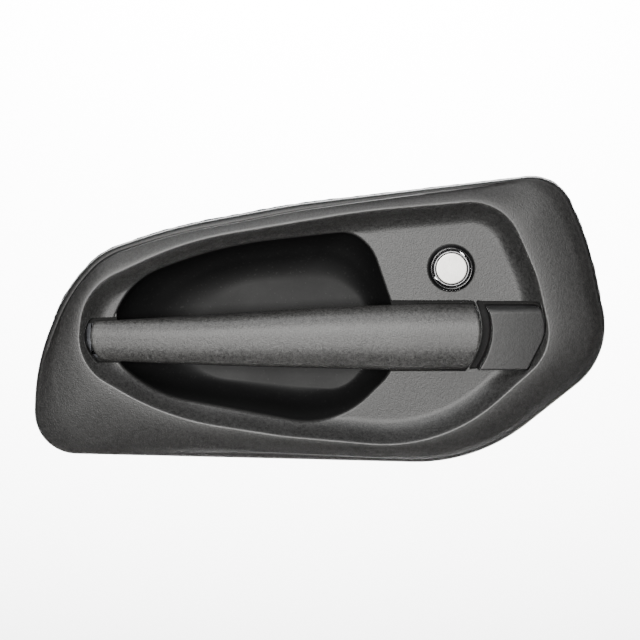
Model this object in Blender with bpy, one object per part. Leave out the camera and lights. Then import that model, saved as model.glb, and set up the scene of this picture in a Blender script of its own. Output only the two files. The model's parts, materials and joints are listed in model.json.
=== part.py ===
"""Pull-type exterior door handle: bezel, finger cup, hinged grip, bell crank and push button.

+X runs from the hinge end to the latch end, +Z is up and -Y faces out of the door. The plane y = 0 is the
outer face of the door skin. Sizes are in millimetres, and MM turns them into Blender's metres. A "height"
is a distance in front of the door skin, so a point of height h has y = -h.
"""

import math

import bpy
import numpy as np
from mathutils import Vector

MM = 0.001
GAP = 0.3  # between pieces that touch
SIDES = 16  # of a round piece
SCREW_SIDES = 10

# Bezel
LENGTH = 284.6
HEIGHT = 143.0
BEZEL_WALL = 3.0
SEAT_HEIGHT = 2.0
RIM_HEIGHT = 7.0
RIM_FILLET = 2.4
RIM_FOOT = 3.2
RIDGE_HEIGHT = 12.0
RIDGE_FILLET = 1.2
DISH_HEIGHT = 3.0
DISH_WALL = 10.0
SEAT_BAND = 8.0  # flat back round the opening, which the finger cup is screwed to
RAYS = 64
RAY_CENTRE = np.array([-30.0, -10.0])

# Tray behind the grip's latch half and the end cap, moulded in one with the bezel
TRAY_FLOOR = 1.5
TRAY_WALL = 1.5
WINDOW_REACH = 12.0  # of the leg's window, to each side of the leg

# Gasket
GASKET_THICKNESS = 1.7
GASKET_WIDTH = 2.6
GASKET_INSET = 0.7

# Finger cup
CUP_WALL = 2.0
CUP_DEPTH = 38.0

# Grip
GRIP_Z = -8.0
GRIP_BACK = 2.0  # height of the grip's back
GRIP_SEAM = 3.5  # height of the seam between its two halves
GRIP_WALL = 2.5
PLUG_CLEARANCE = 1.0  # round the part of the core that lies inside the cover
GRIP_END_BOW = 0.0175  # how fast the latch end curves away, per mm
GRIP_TAIL_BOW = 0.034
GRIP_SLOT_SIDE = 0.7
GRIP_SLOT_TOP = 1.5
GRIP_SLOT_TAIL = 2.6
GRIP_SCREW_FROM_HINGE = 42.0
GRIP_SCREW_FROM_LATCH = 62.0
GRIP_SCREW_SINK = 2.2  # of the screws' seats in the grip's back
RIB_WIDTH = 1.2
CAP_SPACE = 5.5  # between the grip's end and the end cap

# Hinge
PIN_RADIUS = 2.0
PIN_DEPTH = 5.5
BUSH_WALL = 1.0
KNUCKLE_WALL = 1.7
KNUCKLE_LENGTH = 13.3
LUG_THICKNESS = 2.5
LUG_RADIUS = 4.5
PULL_ANGLE = math.radians(9.0)

# Leg and bell crank
LEG_THICKNESS = 4.0
LEG_FLANGE = 1.5
ROLLER_RADIUS = 3.0
ROLLER_LENGTH = 10.0
ROLLER_DEPTH = 34.5  # y of the roller at rest
ROLLER_DROP = 1.6  # of the roller at rest below the grip's centre line
FORK_CLEARANCE = 0.65
FORK_TINE = 3.8
FORK_BRIDGE = 4.0
CRANK_ARM = 30.0
OUTPUT_ARM = 20.0
WEIGHT_ARM = 16.0
WEIGHT_RADIUS = 6.0
WEIGHT_LENGTH = 9.0
CRANK_PLATE = 2.8
RIVET_BORE = 1.9
ROD_CLIP_BORE = 2.1
CRANK_PIN_RADIUS = 2.5
CRANK_BUSH_WALL = 1.0
HUB_WALL = 1.9
SPRING_WIRE = 0.55

# Mechanism bracket
BRACKET_SHEET = 2.5
BRACKET_MARGIN = 6.0

# Button
BUTTON_RADIUS = 7.75
BUTTON_HEIGHT = 9.0
BUTTON_TRAVEL = 2.5
COLLAR_RADIUS = 12.0
BARREL_WALL = 0.85
BARREL_LENGTH = 28.6
COLLAR_TO_GRIP = 6.0

# Fasteners
SCREW_RADIUS = 1.5
SMALL_SCREW_RADIUS = 1.2
STUD_RADIUS = 3.0
STUD_LENGTH = 22.0
BOSS_RADIUS = 5.5
BOSS_COVER = 1.4  # of the bezel's face over a boss's end


def from_hinge_end(x):
    return x - LENGTH / 2


def from_latch_end(x):
    return LENGTH / 2 - x


def from_top(z):
    return HEIGHT / 2 - z


def from_bottom(z):
    return z - HEIGHT / 2


# Outlines: corners (x, z, radius), counter-clockwise as seen from outside the door.
RIM_CORNERS = [
    (from_hinge_end(-1.2), from_bottom(5.0), 21), (from_latch_end(63.8), from_bottom(-0.5), 88),
    (from_latch_end(-3.7), from_bottom(54.0), 37), (from_latch_end(8.8), from_top(33.0), 164),
    (from_latch_end(24.8), from_top(-2.0), 22), (from_hinge_end(130.3), from_top(13.5), 300),
    (from_hinge_end(68.8), from_top(25.0), 254), (from_hinge_end(32.3), from_top(37.5), 40),
    (from_hinge_end(14.8), from_top(58.0), 87), (from_hinge_end(0.3), from_bottom(49.0), 111),
]
RIDGE_CORNERS = [
    (from_hinge_end(21.3), from_bottom(50.0), 26), (from_hinge_end(66.8), from_bottom(23.5), 135),
    (from_hinge_end(123.8), from_bottom(14.5), 213), (from_latch_end(81.3), from_bottom(7.5), 83),
    (from_latch_end(26.3), from_bottom(57.5), 26), (from_latch_end(35.3), from_top(48.0), 79),
    (from_latch_end(52.3), from_top(10.5), 26), (from_latch_end(121.3), from_top(16.5), 411),
    (from_hinge_end(76.8), from_top(31.0), 170), (from_hinge_end(25.8), from_top(54.5), 30),
]
OPENING_CORNERS = [
    (from_hinge_end(33.8), from_bottom(57.0), 38), (from_hinge_end(59.3), from_bottom(34.5), 60),
    (from_latch_end(134.8), from_bottom(17.5), 43), (from_latch_end(97.8), from_bottom(54.0), 33),
    (from_latch_end(116.3), from_top(35.5), 66), (from_latch_end(126.8), from_top(27.0), 16),
    (from_hinge_end(94.3), from_top(34.0), 213), (from_hinge_end(46.8), from_top(51.5), 40),
]
CUP_FLOOR_CORNERS = [
    (from_hinge_end(70.0), from_bottom(56.0), 26), (from_hinge_end(84.0), from_bottom(38.0), 24),
    (from_latch_end(130.0), from_bottom(31.0), 18), (from_latch_end(112.0), from_bottom(54.0), 18),
    (from_latch_end(126.0), from_top(53.0), 26), (from_hinge_end(94.0), from_top(57.0), 40),
]

# Places along the handle
GRIP_LEFT = from_hinge_end(28.1)
GRIP_RIGHT = from_latch_end(63.0)
PIN_X = from_hinge_end(33.3)
LEG_X = from_latch_end(76.3)
BUTTON_X = from_latch_end(77.3)
CAP_RIGHT = from_latch_end(30.0)
CAP_FOOT = from_latch_end(39.6)

# The grip's top edge, bottom edge (from its centre line) and face height, along its length
GRIP_TOP = [
    (GRIP_LEFT, 7.9), (GRIP_LEFT + 55, 10.5), (GRIP_RIGHT - 79, 14.5), (GRIP_RIGHT - 25, 16.4),
    (GRIP_RIGHT, 16.4),
]
GRIP_BOTTOM = [
    (GRIP_LEFT, -11.9), (GRIP_LEFT + 55, -14.1), (GRIP_RIGHT - 79, -15.6), (GRIP_RIGHT - 25, -16.4),
    (GRIP_RIGHT, -15.8),
]
GRIP_FACE = [
    (GRIP_LEFT, 8.0), (GRIP_LEFT + 24, 9.8), (GRIP_LEFT + 84, 12.6), (GRIP_RIGHT - 50, 14.2),
    (GRIP_RIGHT, 14.5),
]
CAP_TOP = GRIP_Z + 15.8
CAP_BOTTOM = GRIP_Z - 15.6
CAP_HEIGHT = 13.0
CAP_FALL = 2.6  # the cap's face drops by this towards the latch end

FINISHES = {
    "grey_grain": ((0.075, 0.075, 0.078), 0.62, 0.0),
    "grip_grain": ((0.11, 0.108, 0.105), 0.60, 0.0),
    "black_plastic": ((0.010, 0.010, 0.011), 0.42, 0.0),
    "black_gloss": ((0.008, 0.008, 0.009), 0.22, 0.0),
    "nylon": ((0.03, 0.03, 0.032), 0.55, 0.0),
    "foam": ((0.02, 0.02, 0.02), 0.95, 0.0),
    "rubber": ((0.015, 0.015, 0.015), 0.85, 0.0),
    "polished": ((0.80, 0.79, 0.77), 0.18, 1.0),
    "zinc": ((0.62, 0.62, 0.60), 0.38, 1.0),
    "steel": ((0.50, 0.50, 0.50), 0.32, 1.0),
    "diecast": ((0.45, 0.45, 0.46), 0.50, 1.0),
    "brass": ((0.72, 0.55, 0.28), 0.30, 1.0),
}


# ---------------------------------------------------------------- geometry in the plane


def rounded(corners, steps=7):
    """Points of a closed polygon with rounded corners, each by its own radius where its sides allow it."""
    points = []
    for i, (x, z, radius) in enumerate(corners):
        corner = np.array([x, z])
        before = np.array(corners[i - 1][:2]) - corner
        after = np.array(corners[(i + 1) % len(corners)][:2]) - corner
        a = before / np.linalg.norm(before)
        b = after / np.linalg.norm(after)
        half = math.acos(max(-1.0, min(1.0, a @ b))) / 2
        reach = min(radius / math.tan(half), 0.49 * np.linalg.norm(before), 0.49 * np.linalg.norm(after))
        radius = reach * math.tan(half)
        centre = corner + (a + b) / np.linalg.norm(a + b) * radius / math.sin(half)
        start = corner + a * reach - centre
        end = corner + b * reach - centre
        first = math.atan2(start[1], start[0])
        turn = (math.atan2(end[1], end[0]) - first + math.pi) % (2 * math.pi) - math.pi
        for k in range(steps + 1):
            angle = first + turn * k / steps
            points.append(centre + radius * np.array([math.cos(angle), math.sin(angle)]))
    return np.array(points)


def distances(points, outline):
    """Each point's distance to a closed outline."""
    start = outline[None]
    side = np.roll(outline, -1, axis=0)[None] - start
    away = points[:, None] - start
    share = np.clip((away * side).sum(-1) / (side * side).sum(-1), 0, 1)
    return np.linalg.norm(away - side * share[..., None], axis=-1).min(axis=1)


def along_rays(outline, directions):
    """Where rays from RAY_CENTRE in these directions leave a closed outline."""
    start = outline - RAY_CENTRE
    side = np.roll(start, -1, axis=0) - start
    hits = []
    for d in directions:
        cross = d[0] * side[:, 1] - d[1] * side[:, 0]
        safe = np.where(abs(cross) < 1e-12, 1.0, cross)
        reach = (start[:, 0] * side[:, 1] - start[:, 1] * side[:, 0]) / safe
        share = (start[:, 0] * d[1] - start[:, 1] * d[0]) / safe
        good = (abs(cross) > 1e-12) & (share >= -1e-9) & (share <= 1 + 1e-9) & (reach > 0)
        hits.append(RAY_CENTRE + d * reach[good].max())
    return np.array(hits)


def spread(outline, count):
    """Unit directions from RAY_CENTRE to points spaced evenly along a closed outline."""
    side = np.linalg.norm(np.roll(outline, -1, axis=0) - outline, axis=1)
    run = np.concatenate([[0], np.cumsum(side)])
    closed = np.vstack([outline, outline[:1]])
    at = np.arange(count) * run[-1] / count
    points = np.stack([np.interp(at, run, closed[:, k]) for k in (0, 1)], axis=1) - RAY_CENTRE
    return points / np.linalg.norm(points, axis=1)[:, None]


def smooth(points, x):
    """The height at x of a smooth curve through the points."""
    xs, ys = np.array(points, float).T
    slopes = np.gradient(ys, xs)
    x = min(max(x, xs[0]), xs[-1])
    i = min(int(np.searchsorted(xs, x, side="right")) - 1, len(xs) - 2)
    width = xs[i + 1] - xs[i]
    t = (x - xs[i]) / width
    return (
        (2 * t**3 - 3 * t**2 + 1) * ys[i] + (t**3 - 2 * t**2 + t) * width * slopes[i]
        + (3 * t**2 - 2 * t**3) * ys[i + 1] + (t**3 - t**2) * width * slopes[i + 1]
    )


def circle(centre, radius, count=SIDES):
    angles = [2 * math.pi * (k + 0.5) / count for k in range(count)]
    return [(centre[0] + radius * math.cos(a), centre[1] + radius * math.sin(a)) for a in angles]


def box(low, high):
    return [(low[0], low[1]), (high[0], low[1]), (high[0], high[1]), (low[0], high[1])]


def link(centres, radii, steps=6):
    """The outline of a flat link round two or three circles in one line."""
    line = np.subtract(centres[-1], centres[0])
    heading = math.atan2(line[1], line[0])
    points = []
    for (cx, cy), radius, turn in ((centres[-1], radii[-1], -0.5), (centres[0], radii[0], 0.5)):
        for k in range(steps + 1):
            angle = heading + math.pi * (turn + k / steps)
            points.append((cx + radius * math.cos(angle), cy + radius * math.sin(angle)))
        if len(centres) == 3:
            side = heading + math.pi * (turn + 1)
            across, up = radii[1] * math.cos(side), radii[1] * math.sin(side)
            points.append((centres[1][0] + across, centres[1][1] + up))
    return points


# ---------------------------------------------------------------- solids


def clear_scene():
    for obj in list(bpy.data.objects):
        bpy.data.objects.remove(obj, do_unlink=True)


def finish_material(name):
    """The named finish as a Principled material, made once."""
    if name in bpy.data.materials:
        return bpy.data.materials[name]
    colour, roughness, metallic = FINISHES[name]
    material = bpy.data.materials.new(name)
    material.use_nodes = True
    shader = material.node_tree.nodes["Principled BSDF"]
    shader.inputs["Base Color"].default_value = (*colour, 1.0)
    shader.inputs["Roughness"].default_value = roughness
    shader.inputs["Metallic"].default_value = metallic
    material.diffuse_color = (*colour, 1.0)
    return material


def pivot(name, place):
    """An empty on a joint's axis, which a moving body's pieces are parented to."""
    empty = bpy.data.objects.new(name, None)
    empty.location = Vector(place) * MM
    bpy.context.scene.collection.objects.link(empty)
    return empty


def solid(name, points, faces, finish, body=None):
    """A closed mesh object from points in the handle's frame, facing out."""
    origin = np.array(body.location) / MM if body else np.zeros(3)
    mesh = bpy.data.meshes.new(name)
    mesh.from_pydata(((np.array(points, float) - origin) * MM).tolist(), [], faces)
    obj = bpy.data.objects.new(name, mesh)
    bpy.context.scene.collection.objects.link(obj)
    obj.parent = body
    mesh.materials.append(finish_material(finish))
    face_outwards(mesh)
    mesh.shade_smooth()
    mesh.set_sharp_from_angle(angle=math.radians(35))
    return obj


def face_outwards(mesh):
    """Turns the faces round if the mesh's volume comes out negative."""
    mesh.calc_loop_triangles()
    volume = 0.0
    for triangle in mesh.loop_triangles:
        a, b, c = (mesh.vertices[i].co for i in triangle.vertices)
        volume += a.dot(b.cross(c))
    if volume < 0:
        mesh.flip_normals()


def loft(name, rings, finish, body=None, ring_shaped=False, bowed_ends=False):
    """Joins rings of equally many points. Ends are capped, or the last ring joins the first.

    A bowed end is capped with strips, from each point to the one opposite, so that it keeps its bow.
    """
    count = len(rings[0])
    points = [p for ring in rings for p in ring]
    faces = []
    for r in range(len(rings) - (0 if ring_shaped else 1)):
        here = r * count
        there = (r + 1) % len(rings) * count
        for k in range(count):
            n = (k + 1) % count
            faces.append((here + k, here + n, there + n, there + k))
    if bowed_ends:
        strips = [(k, k + 1, count - k - 1, (count - k) % count) for k in range(count // 2)]
        strips = [tuple(dict.fromkeys(strip)) for strip in strips]
        faces += [tuple(reversed(strip)) for strip in strips]
        faces += [tuple(len(points) - count + k for k in strip) for strip in strips]
    elif not ring_shaped:
        faces.append(tuple(reversed(range(count))))
        faces.append(tuple(range(len(points) - count, len(points))))
    return solid(name, points, faces, finish, body)


def place_on(axis, a, b, along):
    """A point from its two coordinates across an axis, in X, Y, Z order, and its place along it."""
    if axis == "X":
        return (along, a, b)
    if axis == "Y":
        return (a, along, b)
    return (a, b, along)


def prism(name, outline, axis, low, high, finish, body=None):
    """An outline drawn across an axis, extruded along it."""
    rings = [[place_on(axis, a, b, along) for a, b in outline] for along in (low, high)]
    return loft(name, rings, finish, body)


def turned(name, axis, centre, profile, finish, body=None, hollow=False, count=SIDES):
    """A piece turned about a line: profile is (place along, radius), or with "hex" for a hexagon."""
    rings = []
    for along, radius, *hexagon in profile:
        ring = []
        for k in range(count):
            angle = 2 * math.pi * k / count
            flat = math.cos(math.pi / 6) / math.cos(angle % (math.pi / 3) - math.pi / 6) if hexagon else 1.0
            reach = radius * flat
            ring.append((centre[0] + reach * math.cos(angle), centre[1] + reach * math.sin(angle)))
        rings.append([place_on(axis, a, b, along) for a, b in ring])
    return loft(name, rings, finish, body, ring_shaped=hollow)


def tube(name, axis, centre, low, high, inner, outer, finish, body=None, count=SIDES):
    profile = [(low, inner), (low, outer), (high, outer), (high, inner)]
    return turned(name, axis, centre, profile, finish, body, hollow=True, count=count)


def combine(obj, other, operation):
    """Cuts or joins another object, which then only serves as a helper."""
    other.hide_render = True
    other.display_type = "WIRE"
    modifier = obj.modifiers.new(other.name, "BOOLEAN")
    modifier.operation = operation
    modifier.object = other
    modifier.solver = "EXACT"


def cut(obj, cutter):
    combine(obj, cutter, "DIFFERENCE")


def join(obj, other):
    combine(obj, other, "UNION")


def hole(obj, name, axis, centre, low, high, radius, body=None, count=SCREW_SIDES):
    flats = circle(centre, radius / math.cos(math.pi / count), count)
    cut(obj, prism(f"{obj.name}_{name}", flats, axis, low, high, "steel", body))


def screw(name, place, seat, tip, radius, finish="zinc", body=None):
    """A pan-head screw along Y: its head lies behind the seat, and its tip is in front."""
    head = 1.9 * radius
    top = seat + 1.2 * radius
    socket = 0.62 * radius
    profile = [
        (tip, 0.8 * radius), (seat, radius), (seat, head), (top, 0.85 * head), (top, socket),
        (seat + 0.3 * radius, socket),
    ]
    return turned(name, "Y", place, profile, finish, body, count=SCREW_SIDES)


def e_clip(name, axis, centre, low, radius, finish="zinc", body=None):
    """A retaining clip: a ring round a pin, open on one side."""
    inner = radius + GAP
    outer = radius + 2.4
    points = []
    for reach, order in ((outer, range(9)), (inner, reversed(range(9)))):
        for k in order:
            angle = math.radians(35 + 290 * k / 8)
            points.append((centre[0] + reach * math.cos(angle), centre[1] + reach * math.sin(angle)))
    return prism(name, points, axis, low, low + 0.8, finish, body)


def wire(name, path, radius, finish, body=None):
    """A round wire along a path of points."""
    origin = np.array(body.location) / MM if body else np.zeros(3)
    curve = bpy.data.curves.new(name, "CURVE")
    curve.dimensions = "3D"
    curve.bevel_depth = radius * MM
    curve.bevel_resolution = 1
    curve.use_fill_caps = True
    spline = curve.splines.new("POLY")
    spline.points.add(len(path) - 1)
    for point, place in zip(spline.points, path):
        point.co = (*((np.array(place) - origin) * MM), 1.0)
    curve.materials.append(finish_material(finish))
    obj = bpy.data.objects.new(name, curve)
    bpy.context.scene.collection.objects.link(obj)
    obj.parent = body
    return obj


# ---------------------------------------------------------------- outlines shared by several pieces


class Section:
    """The rim, ridge, opening and cup floor outlines, dense and along common rays."""

    def __init__(self):
        self.rim_line = rounded(RIM_CORNERS)
        self.ridge_line = rounded(RIDGE_CORNERS)
        self.opening_line = rounded(OPENING_CORNERS)
        rays = spread(self.rim_line, RAYS)
        self.rim = along_rays(self.rim_line, rays)
        self.ridge = along_rays(self.ridge_line, rays)
        self.opening = along_rays(self.opening_line, rays)
        self.floor = along_rays(rounded(CUP_FLOOR_CORNERS), rays)
        self.rim_width = np.linalg.norm(self.rim - self.ridge, axis=1)[:, None]
        self.dish_width = np.linalg.norm(self.ridge - self.opening, axis=1)[:, None]

    def inside_rim(self, distance):
        return self.rim + (self.ridge - self.rim) * (distance / self.rim_width)

    def outside_ridge(self, distance):
        return self.ridge + (self.rim - self.ridge) * (distance / self.rim_width)

    def inside_ridge(self, distance, most):
        """Points this far inside the ridge, or a share of the way to the opening where that is nearer."""
        near, far = np.zeros((RAYS, 1)), np.full((RAYS, 1), most)
        for _ in range(16):
            middle = (near + far) / 2
            places = self.ridge + (self.opening - self.ridge) * middle
            reached = distances(places, self.ridge_line)[:, None] >= distance
            near, far = np.where(reached, near, middle), np.where(reached, middle, far)
        return self.ridge + (self.opening - self.ridge) * far

    def outside_opening(self, distance, most=1.0):
        return self.opening + (self.ridge - self.opening) * np.minimum(distance / self.dish_width, most)

    def dish_height(self, points):
        wall = np.clip(1 - distances(points, self.ridge_line) / DISH_WALL, 0, 1)
        return DISH_HEIGHT + (RIDGE_HEIGHT - DISH_HEIGHT) * wall**2

    def rim_height(self, point):
        """The height of the rim's face at a point between its edge and the ridge."""
        point = np.array([point], float)
        edge = distances(point, self.rim_line)[0]
        return RIM_HEIGHT + (RIDGE_HEIGHT - RIM_HEIGHT) * edge / (edge + distances(point, self.ridge_line)[0])

    def inward(self, line, toward, distance):
        """The point inside or outside (negative distance) a line, off its point nearest to a place."""
        nearest = int(np.linalg.norm(line - np.array(toward), axis=1).argmin())
        tangent = line[(nearest + 2) % len(line)] - line[nearest - 2]
        normal = np.array([-tangent[1], tangent[0]]) / np.linalg.norm(tangent)
        return line[nearest] + normal * distance


def ring(points, height):
    """Points of an outline, put at one height or at one height each."""
    heights = np.broadcast_to(np.asarray(height, float).reshape(-1), (len(points),))
    return [(x, -h, z) for (x, z), h in zip(points, heights)]


def latch_arc(reach, low, high, steps=10):
    """The bowed end of the grip, moved along to a reach, from low z to high z."""
    levels = [low + (high - low) * k / steps for k in range(steps + 1)]
    return [(reach - GRIP_END_BOW * (z - GRIP_Z - 3.5) ** 2, z) for z in levels]


def hinge_arc(reach, low, high, steps=6):
    levels = [low + (high - low) * k / steps for k in range(steps + 1)]
    return [(reach + GRIP_TAIL_BOW * (z - GRIP_Z - 0.5) ** 2, z) for z in levels]


def grip_edges(x):
    return GRIP_Z + smooth(GRIP_BOTTOM, x), GRIP_Z + smooth(GRIP_TOP, x)


def grip_stations(inset, count=12):
    """Shares of the grip's length at which it is measured, and the x, bottom, top and face height there."""
    for k in range(count + 1):
        x = GRIP_LEFT + (GRIP_RIGHT - GRIP_LEFT) * k / count
        low, high = grip_edges(x)
        yield k / count, low + inset, high - inset, smooth(GRIP_FACE, x) - inset


def grip_loft(name, inset, base, finish, body, arc=12, power=2.8):
    """The grip's rounded section, swept from its hinge end to its latch end."""
    rings = []
    for share, low, high, face in grip_stations(inset):
        middle, half = (low + high) / 2, (high - low) / 2
        section = []
        for k in range(arc + 1):
            angle = math.pi * k / arc
            cos, sin = math.cos(angle), math.sin(angle)
            z = middle - half * math.copysign(abs(cos) ** (2 / power), cos)
            section.append((z, base + (face - base) * max(sin, 0.0) ** (2 / power)))
        section += [(z, base) for z, _ in section[-2:0:-1]]
        points = []
        for z, height in section:
            left = hinge_arc(GRIP_LEFT + inset, z, z, 1)[0][0]
            right = latch_arc(GRIP_RIGHT - inset, z, z, 1)[0][0]
            points.append((left + (right - left) * share, -height, z))
        rings.append(points)
    return loft(name, rings, finish, body, bowed_ends=True)


def grip_outline(inset):
    """The grip seen from outside the door."""
    stations = list(grip_stations(inset))
    left, right = GRIP_LEFT + inset, GRIP_RIGHT - inset
    lower = [(left + (right - left) * s, low) for s, low, _, _ in stations[1:-1]]
    upper = [(left + (right - left) * s, high) for s, _, high, _ in stations[1:-1]]
    return (
        lower
        + latch_arc(right, stations[-1][1], stations[-1][2])
        + upper[::-1]
        + hinge_arc(left, stations[0][2], stations[0][1])
    )


# ---------------------------------------------------------------- places worked out from the sizes


def pulled(point):
    """Where a point (x, y) of the grip goes when the grip is pulled right out."""
    dx, dy = point[0] - PIN_X, point[1] - PIN_DEPTH
    cos, sin = math.cos(PULL_ANGLE), math.sin(PULL_ANGLE)
    return PIN_X + dx * cos + dy * sin, PIN_DEPTH - dx * sin + dy * cos


ROLLER_TRAVEL = ROLLER_DEPTH - pulled((LEG_X, ROLLER_DEPTH))[1]
CRANK_SWING = 2 * math.asin(ROLLER_TRAVEL / 2 / CRANK_ARM)
CRANK_Y = ROLLER_DEPTH - ROLLER_TRAVEL / 2
ROLLER_Z = GRIP_Z - ROLLER_DROP
CRANK_Z = ROLLER_Z - CRANK_ARM * math.cos(CRANK_SWING / 2)
LEG_LOW = ROLLER_Z - ROLLER_RADIUS - 2.4
LEG_HIGH = CRANK_Z + CRANK_ARM + ROLLER_RADIUS + FORK_CLEARANCE + FORK_BRIDGE
BUSH_BORE = PIN_RADIUS + GAP
KNUCKLE_BORE = BUSH_BORE + BUSH_WALL + GAP
KNUCKLE_RADIUS = KNUCKLE_BORE + KNUCKLE_WALL
KNUCKLE_LOW = GRIP_Z - 2.3 - KNUCKLE_LENGTH / 2
KNUCKLE_HIGH = KNUCKLE_LOW + KNUCKLE_LENGTH
TRAY_BACK = TRAY_FLOOR + TRAY_WALL
PLATE_FRONT = TRAY_BACK + GAP
PLATE_BACK = PLATE_FRONT + BRACKET_SHEET
CRANK_BORE = CRANK_PIN_RADIUS + 2 * GAP + CRANK_BUSH_WALL
HUB_RADIUS = CRANK_BORE + HUB_WALL
ARM_LOW = LEG_X - LEG_THICKNESS / 2 - 1.7 - CRANK_PLATE  # the input arm's plate, along X
ARM_HIGH = ARM_LOW + CRANK_PLATE
HUB_LOW = ARM_LOW - 1.5
OUTPUT_LOW = ARM_HIGH + ROLLER_LENGTH + 1.3
HUB_HIGH = OUTPUT_LOW + CRANK_PLATE + 0.7
SPRING_RADIUS = HUB_RADIUS + 1.4
BUTTON_Z = GRIP_Z + GRIP_TOP[-1][1] + COLLAR_TO_GRIP + COLLAR_RADIUS
BARREL_BORE = BUTTON_RADIUS + GAP
BARREL_RADIUS = BARREL_BORE + BARREL_WALL
BARREL_FRONT = -(BUTTON_HEIGHT - 0.4)
BARREL_BACK = BARREL_FRONT + BARREL_LENGTH


def swung(reach, heading):
    """A point (y, z) at a reach from the crank's axis; a heading of 0 points along the input arm at rest."""
    angle = math.pi / 2 - CRANK_SWING / 2 + heading
    return CRANK_Y + reach * math.cos(angle), CRANK_Z + reach * math.sin(angle)


# ---------------------------------------------------------------- the fixed pieces


def boss(bezel, section, name, place, radius, back=0.0):
    """A round boss on the bezel's back, buried in its face. It gives the height of the boss's top."""
    face = section.dish_height(np.array([place]))[0] if inside(place, section) else section.rim_height(place)
    top = face - BOSS_COVER
    join(bezel, prism(f"{bezel.name}_{name}", circle(place, radius, 14), "Y", -top, back, "grey_grain"))
    return top


def inside(place, section):
    """Whether a place lies inside the ridge."""
    offset = np.array(place) - RAY_CENTRE
    reach = np.linalg.norm(offset)
    edge = along_rays(section.ridge_line, [offset / reach])[0]
    return reach < np.linalg.norm(edge - RAY_CENTRE)


def stud_places():
    return [
        (from_hinge_end(22.3), from_bottom(24.5)), (from_latch_end(48.3), from_bottom(25.0)),
        (from_latch_end(14.8), from_bottom(74.5)), (from_latch_end(32.3), from_top(12.0)),
    ]


def hinge_screw_places():
    return [(from_hinge_end(16.5), GRIP_Z + 5.0), (from_hinge_end(14.3), GRIP_Z - 20.0)]


def bracket_screw_places(section):
    towards = [
        (from_latch_end(84.3), from_bottom(10.0)), (from_latch_end(52.0), from_bottom(33.0)),
        (from_latch_end(40.0), from_top(38.0)), (from_latch_end(84.3), from_top(14.0)),
    ]
    return [section.inward(section.ridge_line, place, 4.6) for place in towards]


def cup_screw_places(section):
    towards = [
        (from_hinge_end(82.0), from_bottom(28.0)), (from_latch_end(146.0), from_bottom(20.0)),
        (from_latch_end(146.0), from_top(28.0)), (from_hinge_end(78.0), from_top(38.0)),
    ]
    return [section.inward(section.opening_line, place, -4.9) for place in towards]


def grip_channel():
    """The cut in the dish that the latch half of the grip lies in, with room above it."""
    low = grip_edges(GRIP_RIGHT)[0] - GRIP_SLOT_SIDE - 0.6
    high = grip_edges(GRIP_RIGHT)[1] + GRIP_SLOT_TOP
    start = from_latch_end(110.0)
    return [(start, low)] + latch_arc(GRIP_RIGHT + GRIP_SLOT_SIDE, low, high) + [(start, high)]


def hinge_slot():
    """The cut in the dish wall that the hinge end of the grip lies in."""
    low, high = grip_edges(GRIP_LEFT)
    inner = from_hinge_end(46.3)
    low, high = low - GRIP_SLOT_SIDE, high + GRIP_SLOT_TOP
    return [(inner, low - 0.8), (inner, high + 0.7)] + hinge_arc(GRIP_LEFT - GRIP_SLOT_TAIL, high, low)


def cap_outline(clearance=0.0, above=0.0):
    """The end cap seen from outside, or the opening round it."""
    low, high = CAP_BOTTOM - clearance, CAP_TOP + clearance + above
    space = RIB_WIDTH + GRIP_SLOT_SIDE if clearance else CAP_SPACE
    outer = rounded(
        [
            (CAP_RIGHT - 30, low, 0.5), (CAP_FOOT + clearance, low, 2.0),
            (CAP_RIGHT + clearance, GRIP_Z + 3.0, 26.0), (CAP_RIGHT - 3.2 + clearance, high, 3.5),
            (CAP_RIGHT - 30, high, 0.5),
        ],
        steps=5,
    )
    outer = [tuple(p) for p in outer if p[0] > CAP_RIGHT - 22]
    return outer + latch_arc(GRIP_RIGHT + space, low, high)[::-1]


def tray_outline(section):
    """The recess floor that closes the grip's channel and the cap's hole from behind."""
    low, high = grip_channel()[0][1] - TRAY_WALL, grip_channel()[-1][1] + TRAY_WALL + 0.6
    left = cup_flange_edge(section) + 1.0
    right = CAP_RIGHT + TRAY_WALL
    return rounded(
        [
            (left, low, 1.0), (CAP_FOOT + TRAY_WALL, low, 3.0), (right, GRIP_Z + 3.0, 20.0),
            (right, high, 6.0), (left, high, 1.0),
        ],
        steps=4,
    )


def cup_flange_edge(section):
    return max(x for x, _ in section.outside_opening(SEAT_BAND, 0.9))


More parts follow.
